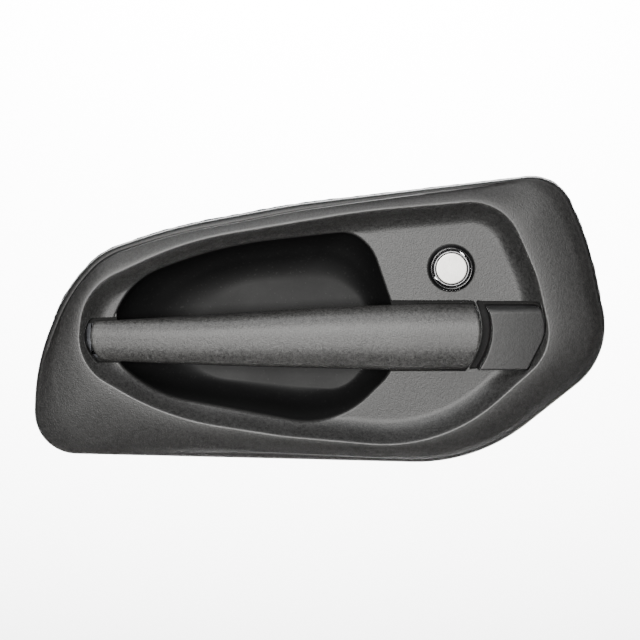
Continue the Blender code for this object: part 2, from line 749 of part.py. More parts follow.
def make_bezel(section):
    dish = [section.inside_ridge(d, share) for d, share in ((2.0, 0.16), (5.0, 0.42), (9.4, 0.70))]
    lip = section.outside_opening(1.2)
    middle = (section.inside_rim(RIM_FILLET) + section.outside_ridge(RIDGE_FILLET)) / 2
    rings = [
        ring(section.rim, SEAT_HEIGHT),
        ring(section.rim, RIM_HEIGHT - 2.2),
        ring(section.inside_rim(0.7), RIM_HEIGHT - 0.7),
        ring(section.inside_rim(RIM_FILLET), RIM_HEIGHT),
        ring(middle, (RIM_HEIGHT + RIDGE_HEIGHT) / 2 + 0.3),
        ring(section.outside_ridge(RIDGE_FILLET), RIDGE_HEIGHT - 0.3),
        ring(section.ridge, RIDGE_HEIGHT),
    ]
    rings += [ring(points, section.dish_height(points)) for points in dish]
    edge = section.dish_height(section.opening)
    rings += [
        ring(lip, section.dish_height(lip)),
        ring(section.opening, edge - 0.8),
        ring(section.opening, 0.0),
        ring(section.outside_opening(SEAT_BAND, 0.76), 0.0),
        ring(section.inside_ridge(SEAT_BAND, 0.12), 0.0),
        ring(section.outside_ridge(1.5), RIDGE_HEIGHT - BEZEL_WALL),
        ring(section.inside_rim(RIM_FOOT), RIM_HEIGHT - BEZEL_WALL),
        ring(section.inside_rim(RIM_FOOT), SEAT_HEIGHT),
    ]
    bezel = loft("bezel", rings, "grey_grain", ring_shaped=True)
    shape_bezel_back(bezel, section)
    join(bezel, prism("bezel_tray", tray_outline(section), "Y", -DISH_HEIGHT + 0.6, TRAY_BACK, "grey_grain"))
    for name, outline, back in (
        ("channel", grip_channel(), TRAY_FLOOR), ("cap_hole", cap_outline(0.5, 1.6), TRAY_FLOOR),
        ("hinge_slot", hinge_slot(), 8.0),
    ):
        cut(bezel, prism(f"bezel_{name}", outline, "Y", -RIDGE_HEIGHT - 8, back, "grey_grain"))
    window = box((LEG_X - WINDOW_REACH, LEG_LOW - 4.5), (LEG_X + WINDOW_REACH, LEG_HIGH + 4.0))
    cut(bezel, prism("bezel_window", window, "Y", 0.0, 8.0, "grey_grain"))
    hole(bezel, "cap_screw_hole", "Y", cap_screw_place(), 0.0, 8.0, SCREW_RADIUS + GAP)
    barrel = BARREL_RADIUS + GAP
    hole(bezel, "button_bore", "Y", (BUTTON_X, BUTTON_Z), -RIDGE_HEIGHT - 8, 8.0, barrel, count=24)
    return bezel


def shape_bezel_back(bezel, section):
    """Bosses on the back and the blind holes in them."""
    for k, place in enumerate(stud_places()):
        top = boss(bezel, section, f"stud_boss_{k}", place, BOSS_RADIUS)
        hole(bezel, f"stud_hole_{k}", "Y", place, -top, 6.0, STUD_RADIUS + GAP)
    for k, place in enumerate(hinge_screw_places()):
        top = boss(bezel, section, f"hinge_boss_{k}", place, 4.0)
        hole(bezel, f"hinge_hole_{k}", "Y", place, -top, 6.0, SCREW_RADIUS + GAP)
    for k, place in enumerate(bracket_screw_places(section)):
        top = boss(bezel, section, f"bracket_boss_{k}", place, 3.6, TRAY_BACK)
        hole(bezel, f"bracket_hole_{k}", "Y", place, -top, 6.0, SCREW_RADIUS + GAP)
    for k, place in enumerate(cup_screw_places(section)):
        hole(bezel, f"cup_hole_{k}", "Y", place, -3.4, 6.0, SMALL_SCREW_RADIUS + GAP)


def make_gasket(section):
    outer = section.inside_rim(GASKET_INSET)
    inner = section.inside_rim(GASKET_INSET + GASKET_WIDTH)
    rings = [ring(outer, 0.0), ring(outer, GASKET_THICKNESS), ring(inner, GASKET_THICKNESS), ring(inner, 0.0)]
    loft("gasket", rings, "foam", ring_shaped=True)


def make_cup(section):
    """A smooth bowl behind the opening, with a flange that is screwed to the bezel."""
    flange = section.outside_opening(SEAT_BAND, 0.9)
    rim = section.outside_opening(CUP_WALL)
    floor_rim = section.floor + (section.opening - section.floor) * 0.08
    inner, outer = [], []
    for k in range(5):
        angle = math.pi / 2 * k / 4
        near, deep = 1 - math.cos(angle), math.sin(angle)
        wall = section.opening + (section.floor - section.opening) * near
        inner.append(ring(wall, -GAP - (CUP_DEPTH - GAP) * deep))
        back = GAP + CUP_WALL + (CUP_DEPTH - GAP) * deep
        outer.append(ring(rim + (floor_rim - rim) * near, -back))
    rings = inner[::-1] + [ring(flange, -GAP), ring(flange, -GAP - CUP_WALL)] + outer
    cup = loft("finger_cup", rings, "black_plastic")
    low, high = KNUCKLE_LOW - LUG_THICKNESS - 3.0, KNUCKLE_HIGH + LUG_THICKNESS + 3.4
    notch = box((PIN_X - 12, low), (PIN_X + KNUCKLE_RADIUS + 1.2, high))
    notch_back = PIN_DEPTH + KNUCKLE_RADIUS + 3.4
    cut(cup, prism("finger_cup_hinge_notch", notch, "Y", -4.0, notch_back, "black_plastic"))
    for k, place in enumerate(cup_screw_places(section)):
        hole(cup, f"screw_hole_{k}", "Y", place, -3.0, 6.0, SMALL_SCREW_RADIUS + GAP)
        screw(f"cup_screw_{k + 1}", place, 2 * GAP + CUP_WALL, -3.1, SMALL_SCREW_RADIUS, "zinc")


def make_studs():
    for k, place in enumerate(stud_places()):
        front = -4.6
        profile = [
            (front, 0.8 * STUD_RADIUS), (front + 0.6, STUD_RADIUS), (front + STUD_LENGTH - 1.2, STUD_RADIUS),
            (front + STUD_LENGTH, 0.7 * STUD_RADIUS),
        ]
        turned(f"mounting_stud_{k + 1}", "Y", place, profile, "zinc", count=SCREW_SIDES + 4)


def make_locating_clips(section):
    """Spring clips under the lower edge, hooked over a tab behind the rim."""
    for k, (start, width) in enumerate(((38.0, 3.2), (44.5, 7.0))):
        x = from_hinge_end(start)
        edge = section.inward(section.rim_line, (x + width / 2, from_bottom(0.0)), 0.0)[1]
        hook = -SEAT_HEIGHT - 1.6
        path = [
            (hook, edge + 6.2), (hook, edge + 5.4), (0.9, edge + 5.4), (0.9, edge - 1.6),
            (6.5, edge + 0.4), (6.5, edge + 1.2), (1.6, edge - 0.6), (1.7, edge + 6.2),
        ]
        prism(f"locating_clip_{k + 1}", path, "X", x, x + width, "zinc")


def make_end_cap():
    """The fixed block beyond the grip. Its face falls towards the latch end."""
    outline = cap_outline()
    fall = [CAP_FALL * ((x - GRIP_RIGHT) / (CAP_RIGHT - GRIP_RIGHT)) ** 2 for x, _ in outline]
    shrunk = (np.array(outline) - np.mean(outline, axis=0)) * 0.965 + np.mean(outline, axis=0)
    rings = [
        [(x, TRAY_FLOOR - GAP, z) for x, z in outline],
        [(x, -CAP_HEIGHT + f + 0.8, z) for (x, z), f in zip(outline, fall)],
        [(x, -CAP_HEIGHT + f, z) for (x, z), f in zip(shrunk, fall)],
    ]
    cap = loft("end_cap", rings, "grey_grain")
    place = cap_screw_place()
    hole(cap, "screw_hole", "Y", place, -7.5, 2.0, SCREW_RADIUS + GAP)
    screw("end_cap_screw", place, PLATE_BACK + GAP, -7.0, SCREW_RADIUS)


def cap_screw_place():
    return ((GRIP_RIGHT + CAP_SPACE + CAP_RIGHT) / 2 - 1.0, GRIP_Z + 1.0)


def make_hinge_bracket():
    """A plate behind the rim with two lugs that hold the grip's pin."""
    places = hinge_screw_places()
    left, right = from_hinge_end(10.5), PIN_X - LUG_RADIUS - 1.0
    outline = rounded(
        [
            (left - 1.5, places[1][1] - 4.5, 3.0), (right, places[1][1] - 2.0, 3.0),
            (right, places[0][1] + 5.0, 2.0), (left + 1.5, places[0][1] + 5.0, 3.0),
        ],
        steps=3,
    )
    plate_back = GAP + BRACKET_SHEET
    bracket = prism("hinge_bracket", outline, "Y", GAP, plate_back, "zinc")
    wall = PIN_DEPTH + KNUCKLE_RADIUS + 0.6
    edge = PIN_X - LUG_RADIUS - 5.0
    for name, low in (("lower", KNUCKLE_LOW - GAP - LUG_THICKNESS), ("upper", KNUCKLE_HIGH + GAP)):
        eye = rounded(
            [
                (edge, plate_back - 1.0, 0.2), (PIN_X - 1, PIN_DEPTH - LUG_RADIUS, 0.5),
                (PIN_X + LUG_RADIUS, PIN_DEPTH - LUG_RADIUS, 4.0), (PIN_X + LUG_RADIUS, wall + 1.0, 0.2),
                (edge, wall + 1.0, 0.2),
            ],
            steps=3,
        )
        join(bracket, prism(f"hinge_bracket_{name}_lug", eye, "Z", low, low + LUG_THICKNESS, "zinc"))
    low, high = KNUCKLE_LOW - GAP - LUG_THICKNESS, KNUCKLE_HIGH + GAP + LUG_THICKNESS
    back = box((edge, low), (PIN_X + LUG_RADIUS, high + 2.4))
    join(bracket, prism("hinge_bracket_back", back, "Y", wall, wall + 2.0, "zinc"))
    side = box((edge, low), (edge + 2.0, high + 2.4))
    join(bracket, prism("hinge_bracket_side", side, "Y", plate_back - 1.0, wall + 1.0, "zinc"))
    hole(bracket, "pin_bore", "Z", (PIN_X, PIN_DEPTH), low - 2, high + 2, PIN_RADIUS + GAP)
    for k, place in enumerate(places):
        hole(bracket, f"screw_hole_{k}", "Y", place, -2.0, plate_back + 2, SCREW_RADIUS + GAP)
        screw(f"hinge_bracket_screw_{k + 1}", place, plate_back + GAP, -5.0, SCREW_RADIUS)


def make_hinge_pin():
    low = KNUCKLE_LOW - GAP - LUG_THICKNESS
    high = KNUCKLE_HIGH + GAP + LUG_THICKNESS
    profile = [
        (low - 2.4, 0.8 * PIN_RADIUS), (low - 2.0, PIN_RADIUS), (high + GAP, PIN_RADIUS),
        (high + GAP, 1.6 * PIN_RADIUS), (high + GAP + 0.9, 1.6 * PIN_RADIUS),
        (high + GAP + 1.3, 1.2 * PIN_RADIUS),
    ]
    turned("hinge_pin", "Z", (PIN_X, PIN_DEPTH), profile, "steel", count=16)
    e_clip("hinge_pin_clip", "Z", (PIN_X, PIN_DEPTH), low - GAP - 0.8, PIN_RADIUS)


def bracket_outline(section, places):
    """A plate that reaches past its four screws and stops short of the cup's flange."""
    left = cup_flange_edge(section) - 1.6
    lower_left, lower_right, upper_right, upper_left = places
    grow = BRACKET_MARGIN
    return rounded(
        [
            (left, lower_left[1] - grow + 6, 6.0), (lower_left[0] + 2, lower_left[1] - grow, 6.0),
            (lower_right[0] + grow, lower_right[1] - grow + 2, 8.0),
            (upper_right[0] + grow, upper_right[1] + grow, 8.0),
            (upper_left[0] + 2, upper_left[1] + grow, 6.0), (left, upper_left[1] + grow - 4, 6.0),
        ],
        steps=4,
    )


def make_mechanism_bracket(section):
    places = bracket_screw_places(section)
    outline = bracket_outline(section, places)
    bracket = prism("mechanism_bracket", outline, "Y", PLATE_FRONT, PLATE_BACK, "zinc")
    for name, low in (("near", HUB_LOW - GAP - BRACKET_SHEET), ("far", HUB_HIGH + GAP)):
        ear = rounded(
            [
                (PLATE_BACK - 1.0, CRANK_Z - 15, 0.5), (PLATE_BACK + 3, CRANK_Z - 15, 2.0),
                (CRANK_Y + 6.5, CRANK_Z - 7.5, 6.0), (CRANK_Y + 6.5, CRANK_Z + 7.5, 6.0),
                (PLATE_BACK + 3, CRANK_Z + 13, 2.0), (PLATE_BACK - 1.0, CRANK_Z + 13, 0.5),
            ],
            steps=4,
        )
        join(bracket, prism(f"mechanism_bracket_{name}_ear", ear, "X", low, low + BRACKET_SHEET, "zinc"))
    hole(bracket, "crank_bore", "X", (CRANK_Y, CRANK_Z), HUB_LOW - 8, HUB_HIGH + 8, CRANK_PIN_RADIUS + GAP)
    window = box((LEG_X - WINDOW_REACH, LEG_LOW - 4.5), (LEG_X + WINDOW_REACH, LEG_HIGH + 4.0))
    cut(bracket, prism("mechanism_bracket_window", window, "Y", PLATE_FRONT - 2, PLATE_BACK + 2, "zinc"))
    bore = BARREL_RADIUS + GAP
    hole(bracket, "button_bore", "Y", (BUTTON_X, BUTTON_Z), PLATE_FRONT - 2, PLATE_BACK + 2, bore, count=24)
    drill = SCREW_RADIUS + GAP
    hole(bracket, "cap_screw_hole", "Y", cap_screw_place(), PLATE_FRONT - 2, PLATE_BACK + 2, drill)
    for k, place in enumerate(places):
        hole(bracket, f"screw_hole_{k}", "Y", place, PLATE_FRONT - 2, PLATE_BACK + 2, drill)
        screw(f"mechanism_bracket_screw_{k + 1}", place, PLATE_BACK + GAP, -3.6, SCREW_RADIUS)
    left = min(p[0] for p in outline)
    for k, z in enumerate((LEG_HIGH + 1.0, LEG_LOW - 3.5)):
        profile = [(-GRIP_BACK + 0.4, 1.6), (-GRIP_BACK + 0.9, 2.1), (TRAY_FLOOR - GAP, 2.1)]
        turned(f"grip_buffer_{k + 1}", "Y", (left + 5.4, z), profile, "rubber", count=14)


def make_crank_pin():
    low, high = HUB_LOW - GAP - BRACKET_SHEET, HUB_HIGH + GAP + BRACKET_SHEET
    profile = [
        (low - GAP - 1.4, 1.3 * CRANK_PIN_RADIUS), (low - GAP - 1.0, 1.6 * CRANK_PIN_RADIUS),
        (low - GAP, 1.6 * CRANK_PIN_RADIUS), (low - GAP, CRANK_PIN_RADIUS), (high + 2.6, CRANK_PIN_RADIUS),
        (high + 3.0, 0.8 * CRANK_PIN_RADIUS),
    ]
    turned("crank_pin", "X", (CRANK_Y, CRANK_Z), profile, "steel", count=16)
    e_clip("crank_pin_clip", "X", (CRANK_Y, CRANK_Z), high + GAP, CRANK_PIN_RADIUS)


def make_crank_spring():
    """A torsion spring round the crank's hub, with one leg on the bracket's plate."""
    start, end, turns, steps = ARM_HIGH + 1.6, OUTPUT_LOW - 1.6, 4, 12
    path = [(start, PLATE_BACK + GAP + SPRING_WIRE, CRANK_Z + SPRING_RADIUS)]
    for k in range(turns * steps + 1):
        angle = math.pi / 2 - 2 * math.pi * k / steps
        x = start + (end - start) * k / (turns * steps)
        path.append((x, CRANK_Y + SPRING_RADIUS * math.cos(angle), CRANK_Z + SPRING_RADIUS * math.sin(angle)))
    path.append((end, CRANK_Y + 9.0, CRANK_Z + SPRING_RADIUS))
    wire("crank_spring", path, SPRING_WIRE, "steel")


# ---------------------------------------------------------------- the grip


def make_grip(body):
    cover = grip_loft("grip_cover", 0.0, GRIP_SEAM, "grip_grain", body)
    cut(cover, grip_loft("grip_cover_inside", GRIP_WALL, GRIP_SEAM - 1.5, "grip_grain", body))
    seam = GRIP_SEAM - GAP
    core = grip_loft("grip_core", GRIP_WALL + PLUG_CLEARANCE, seam - 0.7, "nylon", body)
    lid_edge = grip_outline(0.15)
    lid = [ring(grip_outline(1.2), GRIP_BACK), ring(lid_edge, GRIP_BACK + 0.8), ring(lid_edge, seam)]
    join(core, loft("grip_core_lid", lid, "nylon", body))
    web = box((PIN_X - KNUCKLE_RADIUS + 2.6, -seam + 0.5), (PIN_X + KNUCKLE_RADIUS - 1.2, PIN_DEPTH))
    join(core, prism("grip_core_web", web, "Z", KNUCKLE_LOW, KNUCKLE_HIGH, "nylon", body))
    centre = (PIN_X, PIN_DEPTH)
    barrel = circle(centre, KNUCKLE_RADIUS, 20)
    join(core, prism("grip_core_knuckle", barrel, "Z", KNUCKLE_LOW, KNUCKLE_HIGH, "nylon", body))
    hole(core, "knuckle_bore", "Z", centre, KNUCKLE_LOW - 4, KNUCKLE_HIGH + 4, KNUCKLE_BORE, body, 16)
    half = KNUCKLE_LENGTH / 2
    for k in range(2):
        low, outer = KNUCKLE_LOW + 0.05 + k * half, BUSH_BORE + BUSH_WALL
        tube(f"hinge_bush_{k + 1}", "Z", centre, low, low + half - GAP, BUSH_BORE, outer, "nylon", body, 16)
    make_grip_screws(cover, core, body)
    make_leg(core, body)


def make_grip_screws(cover, core, body):
    """Two screws through the grip's core into its cover."""
    for k, x in enumerate((GRIP_LEFT + GRIP_SCREW_FROM_HINGE, GRIP_RIGHT - GRIP_SCREW_FROM_LATCH)):
        low, high = grip_edges(x)
        place = (x, (low + high) / 2)
        face = smooth(GRIP_FACE, x)
        seat = -(GRIP_BACK + GRIP_SCREW_SINK)
        hole(core, f"head_hole_{k}", "Y", place, seat, 3.0, 1.9 * SCREW_RADIUS + GAP, body)
        hole(core, f"shank_hole_{k}", "Y", place, -face - 1, seat + 1, SCREW_RADIUS + GAP, body)
        hole(cover, f"screw_hole_{k}", "Y", place, -(face - 0.9), 0.0, SCREW_RADIUS + GAP, body)
        screw(f"grip_screw_{k + 1}", place, seat + GAP, -(face - 1.2), SCREW_RADIUS, "zinc", body)


def make_leg(core, body):
    """A steel leg that goes back through the bezel, with a fork round the crank's roller."""
    side = LEG_THICKNESS / 2
    reach = ROLLER_RADIUS + FORK_CLEARANCE
    front, end = -GRIP_BACK + GAP, ROLLER_DEPTH + reach + FORK_TINE
    slot_top = LEG_HIGH - FORK_BRIDGE
    outline = [
        (front, LEG_LOW), (ROLLER_DEPTH - reach, LEG_LOW), (ROLLER_DEPTH - reach, slot_top),
        (ROLLER_DEPTH + reach, slot_top), (ROLLER_DEPTH + reach, LEG_LOW), (end, LEG_LOW), (end, LEG_HIGH),
        (front, LEG_HIGH),
    ]
    leg = prism("pull_leg", outline, "X", LEG_X - side, LEG_X + side, "steel", body)
    flange = rounded(
        [
            (LEG_X - 10.0, LEG_LOW, 3.0), (LEG_X + 9.4, LEG_LOW, 3.0), (LEG_X + 9.4, LEG_HIGH, 3.0),
            (LEG_X - 10.0, LEG_HIGH, 3.0),
        ],
        steps=3,
    )
    join(leg, prism("pull_leg_flange", flange, "Y", front, front + LEG_FLANGE, "steel", body))
    middle = (LEG_LOW + LEG_HIGH) / 2
    for k, x in enumerate((LEG_X - 6.0, LEG_X + 5.4)):
        place = (x, middle)
        hole(leg, f"screw_hole_{k}", "Y", place, front - 2, front + 4, SCREW_RADIUS + GAP, body)
        hole(core, f"leg_hole_{k}", "Y", place, -8.6, 2.0, SCREW_RADIUS + GAP, body)
        screw(f"pull_leg_screw_{k + 1}", place, front + LEG_FLANGE + GAP, -8.2, SCREW_RADIUS, "zinc", body)


# ---------------------------------------------------------------- the bell crank


def make_crank(body):
    """Input arm and weight arm in one plate, a hub, and an output arm at the hub's far end."""
    roller, weight = swung(CRANK_ARM, 0.0), swung(WEIGHT_ARM, math.pi)
    output = swung(OUTPUT_ARM, -math.pi / 2)
    axis = (CRANK_Y, CRANK_Z)
    plate = link([roller, axis, weight], [4.2, HUB_RADIUS + 1.0, 4.6])
    crank = prism("bell_crank", plate, "X", ARM_LOW, ARM_HIGH, "diecast", body)
    hub = circle(axis, HUB_RADIUS, 20)
    join(crank, prism("bell_crank_hub", hub, "X", HUB_LOW, HUB_HIGH, "diecast", body))
    arm = link([axis, output], [HUB_RADIUS + 0.8, 4.4])
    join(crank, prism("bell_crank_output", arm, "X", OUTPUT_LOW, OUTPUT_LOW + CRANK_PLATE, "diecast", body))
    hole(crank, "bore", "X", axis, HUB_LOW - 2, HUB_HIGH + 2, CRANK_BORE, body, 16)
    rivets = (("roller_hole", roller, RIVET_BORE), ("weight_hole", weight, RIVET_BORE))
    for name, place, radius in (*rivets, ("rod_hole", output, ROD_CLIP_BORE)):
        hole(crank, name, "X", place, ARM_LOW - 2, HUB_HIGH + 2, radius, body)
    inner = CRANK_PIN_RADIUS + GAP
    outer = inner + CRANK_BUSH_WALL
    tube("crank_bush", "X", axis, HUB_LOW + 0.2, HUB_HIGH - 0.2, inner, outer, "nylon", body, 16)
    start = ARM_HIGH + GAP
    end = start + ROLLER_LENGTH
    tube("crank_roller", "X", roller, start, end, RIVET_BORE, ROLLER_RADIUS, "nylon", body, 16)
    rivet("roller_rivet", roller, start + ROLLER_LENGTH + GAP, 2.7, body)
    end = start + WEIGHT_LENGTH
    tube("counterweight", "X", weight, start, end, RIVET_BORE, WEIGHT_RADIUS, "zinc", body, 20)
    rivet("counterweight_rivet", weight, end + GAP, 3.2, body)
    make_rod_clip(output, body)


def rivet(name, place, end, head, body):
    """A rivet along X from the input arm's outer side to an end."""
    low = ARM_LOW - GAP
    profile = [
        (low - 0.8, 0.6 * head), (low - 0.4, head), (low, head), (low, 1.6), (end, 1.6), (end, head),
        (end + 0.5, head), (end + 0.9, 0.6 * head),
    ]
    turned(name, "X", place, profile, "steel", body, count=SCREW_SIDES)


def make_rod_clip(place, body):
    """A plastic clip in the output arm: a snap pin, a block and an open groove for the latch rod."""
    high = OUTPUT_LOW - GAP
    clip = prism("rod_clip", circle(place, 4.2, 16), "X", high - 5.5, high, "black_plastic", body)
    pin = [(high - 1.0, 1.7), (OUTPUT_LOW + CRANK_PLATE + 0.5, 1.7), (OUTPUT_LOW + CRANK_PLATE + 1.0, 1.1)]
    join(clip, turned("rod_clip_pin", "X", place, pin, "black_plastic", body, count=12))
    groove = box((place[0] - 1.3, place[1] - 6), (place[0] + 1.3, place[1] + 1.0))
    cut(clip, prism("rod_clip_groove", groove, "X", high - 4.6, high - 1.6, "black_plastic", body))


# ---------------------------------------------------------------- the button


def make_button_housing():
    centre = (BUTTON_X, BUTTON_Z)
    guide = 3.6
    profile = [
        (BARREL_FRONT, BARREL_BORE), (BARREL_FRONT, BARREL_RADIUS - 0.3), (BARREL_FRONT + 0.4, BARREL_RADIUS),
        (BARREL_BACK, BARREL_RADIUS), (BARREL_BACK, 6.6), (9.0, 6.6), (9.0, guide), (6.0, guide),
        (6.0, BARREL_BORE),
    ]
    turned("button_housing", "Y", centre, profile, "diecast", hollow=True, count=24)
    base = -(DISH_HEIGHT + GAP)
    bore = BARREL_RADIUS + GAP
    collar = [
        (base, bore), (base, COLLAR_RADIUS - 0.3), (base - 1.6, COLLAR_RADIUS),
        (base - 4.2, COLLAR_RADIUS - 0.9), (base - 5.6, COLLAR_RADIUS - 2.0), (base - 5.9, bore + 0.4),
        (base - 5.4, bore),
    ]
    turned("button_collar", "Y", centre, collar, "black_gloss", hollow=True, count=28)
    nut_low = PLATE_BACK + GAP
    nut = [
        (nut_low, bore), (nut_low, 13.0, "hex"), (nut_low + 5.0, 13.0, "hex"), (nut_low + 5.0, bore),
    ]
    turned("housing_nut", "Y", centre, nut, "zinc", hollow=True, count=24)
    make_switch(centre)


def make_switch(centre):
    """A small switch in the barrel's mouth, with a pip that the plunger presses."""
    front = BARREL_BACK + GAP
    outline = box((centre[0] - 6.4, centre[1] - 5.0), (centre[0] + 6.4, centre[1] + 5.0))
    body = prism("switch_body", outline, "Y", front, front + 9.5, "black_plastic")
    pip = [(front - 2.6, 1.0), (front - 2.2, 1.5), (front + 1.0, 1.5)]
    join(body, turned("switch_body_pip", "Y", centre, pip, "black_plastic", count=12))
    for k, x in enumerate((centre[0] - 3.2, centre[0] + 2.4)):
        blade = box((x, centre[1] - 2.0), (x + 0.8, centre[1] + 2.0))
        prism(f"switch_terminal_{k + 1}", blade, "Y", front + 9.5 + GAP, front + 17.0, "brass")


def make_button(body):
    centre = (BUTTON_X, BUTTON_Z)
    cap = [
        (-BUTTON_HEIGHT, BUTTON_RADIUS - 0.5), (-BUTTON_HEIGHT + 0.4, BUTTON_RADIUS),
        (-BUTTON_HEIGHT + 3.0, BUTTON_RADIUS),
    ]
    turned("button_cap", "Y", centre, cap, "polished", body, count=24)
    back = -BUTTON_HEIGHT + 3.0 + GAP
    end = BARREL_BACK + GAP - 2.6 - BUTTON_TRAVEL - 0.5
    stem = [(back, 6.2), (back + 1.6, 6.2), (back + 1.6, 3.2), (end - 0.6, 3.2), (end, 2.4)]
    turned("button_plunger", "Y", centre, stem, "nylon", body, count=16)


def make_button_spring():
    radius, wire_radius, turns, steps = 4.9, 0.35, 4, 10
    front = -BUTTON_HEIGHT + 3.0 + 2 * GAP + 1.6 + wire_radius
    back = 6.0 - GAP - wire_radius
    path = []
    for k in range(turns * steps + 1):
        angle = 2 * math.pi * k / steps
        y = front + (back - front) * k / (turns * steps)
        path.append((BUTTON_X + radius * math.cos(angle), y, BUTTON_Z + radius * math.sin(angle)))
    wire("button_spring", path, wire_radius, "steel")


def main():
    clear_scene()
    section = Section()
    make_bezel(section)
    make_gasket(section)
    make_cup(section)
    make_studs()
    make_locating_clips(section)
    make_end_cap()
    make_hinge_bracket()
    make_hinge_pin()
    make_mechanism_bracket(section)
    make_crank_pin()
    make_crank_spring()
    make_button_housing()
    make_button_spring()
    make_grip(pivot("grip_pivot", (PIN_X, PIN_DEPTH, GRIP_Z)))
    make_crank(pivot("crank_pivot", (LEG_X, CRANK_Y, CRANK_Z)))
    make_button(pivot("button_axis", (BUTTON_X, 0.0, BUTTON_Z)))


main()
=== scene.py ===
"""Looks of an exterior pull door handle: fine surfaces, finishes, studio and camera.

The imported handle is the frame. +X runs to the latch end, +Z is up and -Y faces out of the door. Shapes are
worked out in millimetres, a "height" being a distance in front of the door skin, and MM turns them to metres.
"""

from __future__ import annotations

import json
import logging
import math
from collections.abc import Callable, Sequence
from dataclasses import dataclass, field
from enum import Enum

import bmesh
import bpy
import numpy as np
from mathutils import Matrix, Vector


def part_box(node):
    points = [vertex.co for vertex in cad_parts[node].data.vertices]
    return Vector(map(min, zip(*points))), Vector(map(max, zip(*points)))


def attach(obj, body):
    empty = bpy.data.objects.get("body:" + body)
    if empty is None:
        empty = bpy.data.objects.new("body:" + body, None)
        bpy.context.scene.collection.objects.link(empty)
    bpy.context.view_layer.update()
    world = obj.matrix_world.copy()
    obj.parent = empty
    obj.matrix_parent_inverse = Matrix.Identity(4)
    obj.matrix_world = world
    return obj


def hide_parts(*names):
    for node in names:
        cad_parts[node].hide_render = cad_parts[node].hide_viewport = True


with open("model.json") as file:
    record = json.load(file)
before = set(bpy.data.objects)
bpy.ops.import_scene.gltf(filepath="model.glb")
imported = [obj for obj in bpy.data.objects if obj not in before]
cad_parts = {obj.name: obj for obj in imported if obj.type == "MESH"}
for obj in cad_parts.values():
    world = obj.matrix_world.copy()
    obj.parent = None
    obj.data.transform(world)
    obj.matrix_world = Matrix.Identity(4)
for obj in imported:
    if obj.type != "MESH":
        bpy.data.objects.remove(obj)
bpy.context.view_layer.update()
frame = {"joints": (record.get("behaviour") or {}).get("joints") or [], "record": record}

MM = 0.001
LOG = logging.getLogger("door_handle")
BODY_OF = {node: body for body, nodes in frame["record"]["behaviour"]["bodies"].items() for node in nodes}
JOINTS = {joint["name"]: joint for joint in frame["joints"]}


# ---------------------------------------------------------------- places read from the frame


@dataclass(frozen=True)
class Extent:
    """A node's box in millimetres."""

    low: np.ndarray
    high: np.ndarray

    @classmethod
    def of(cls, node: str) -> Extent:
        """The box of a named node."""
        low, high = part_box(node)
        return cls(np.array(low) / MM, np.array(high) / MM)

    @property
    def middle(self) -> np.ndarray:
        """The middle of the box."""
        return (self.low + self.high) / 2

    @property
    def size(self) -> np.ndarray:
        """The box's three lengths."""
        return self.high - self.low


# ---------------------------------------------------------------- outlines in the plane of the door


def rounded(corners: Sequence[tuple[float, float, float]], steps: int = 14) -> np.ndarray:
    """Rounds the corners of a polygon.

    Args:
        corners: x, z and radius of each corner, counter-clockwise from outside; a radius of 0 stays sharp.
        steps: segments in each rounded corner.

    Returns:
        The outline's points, one row each.
    """
    points = []
    for i, (x, z, radius) in enumerate(corners):
        corner = np.array([x, z])
        if radius == 0:
            points.append(corner)
            continue
        before = np.array(corners[i - 1][:2]) - corner
        after = np.array(corners[(i + 1) % len(corners)][:2]) - corner
        a, b = before / np.linalg.norm(before), after / np.linalg.norm(after)
        half = math.acos(max(-1.0, min(1.0, a @ b))) / 2
        reach = min(radius / math.tan(half), 0.49 * np.linalg.norm(before), 0.49 * np.linalg.norm(after))
        radius = reach * math.tan(half)
        centre = corner + (a + b) / np.linalg.norm(a + b) * radius / math.sin(half)
        start, end = corner + a * reach - centre, corner + b * reach - centre
        first = math.atan2(start[1], start[0])
        turn = (math.atan2(end[1], end[0]) - first + math.pi) % (2 * math.pi) - math.pi
        for k in range(steps + 1):
            angle = first + turn * k / steps
            points.append(centre + radius * np.array([math.cos(angle), math.sin(angle)]))
    return np.array(points)


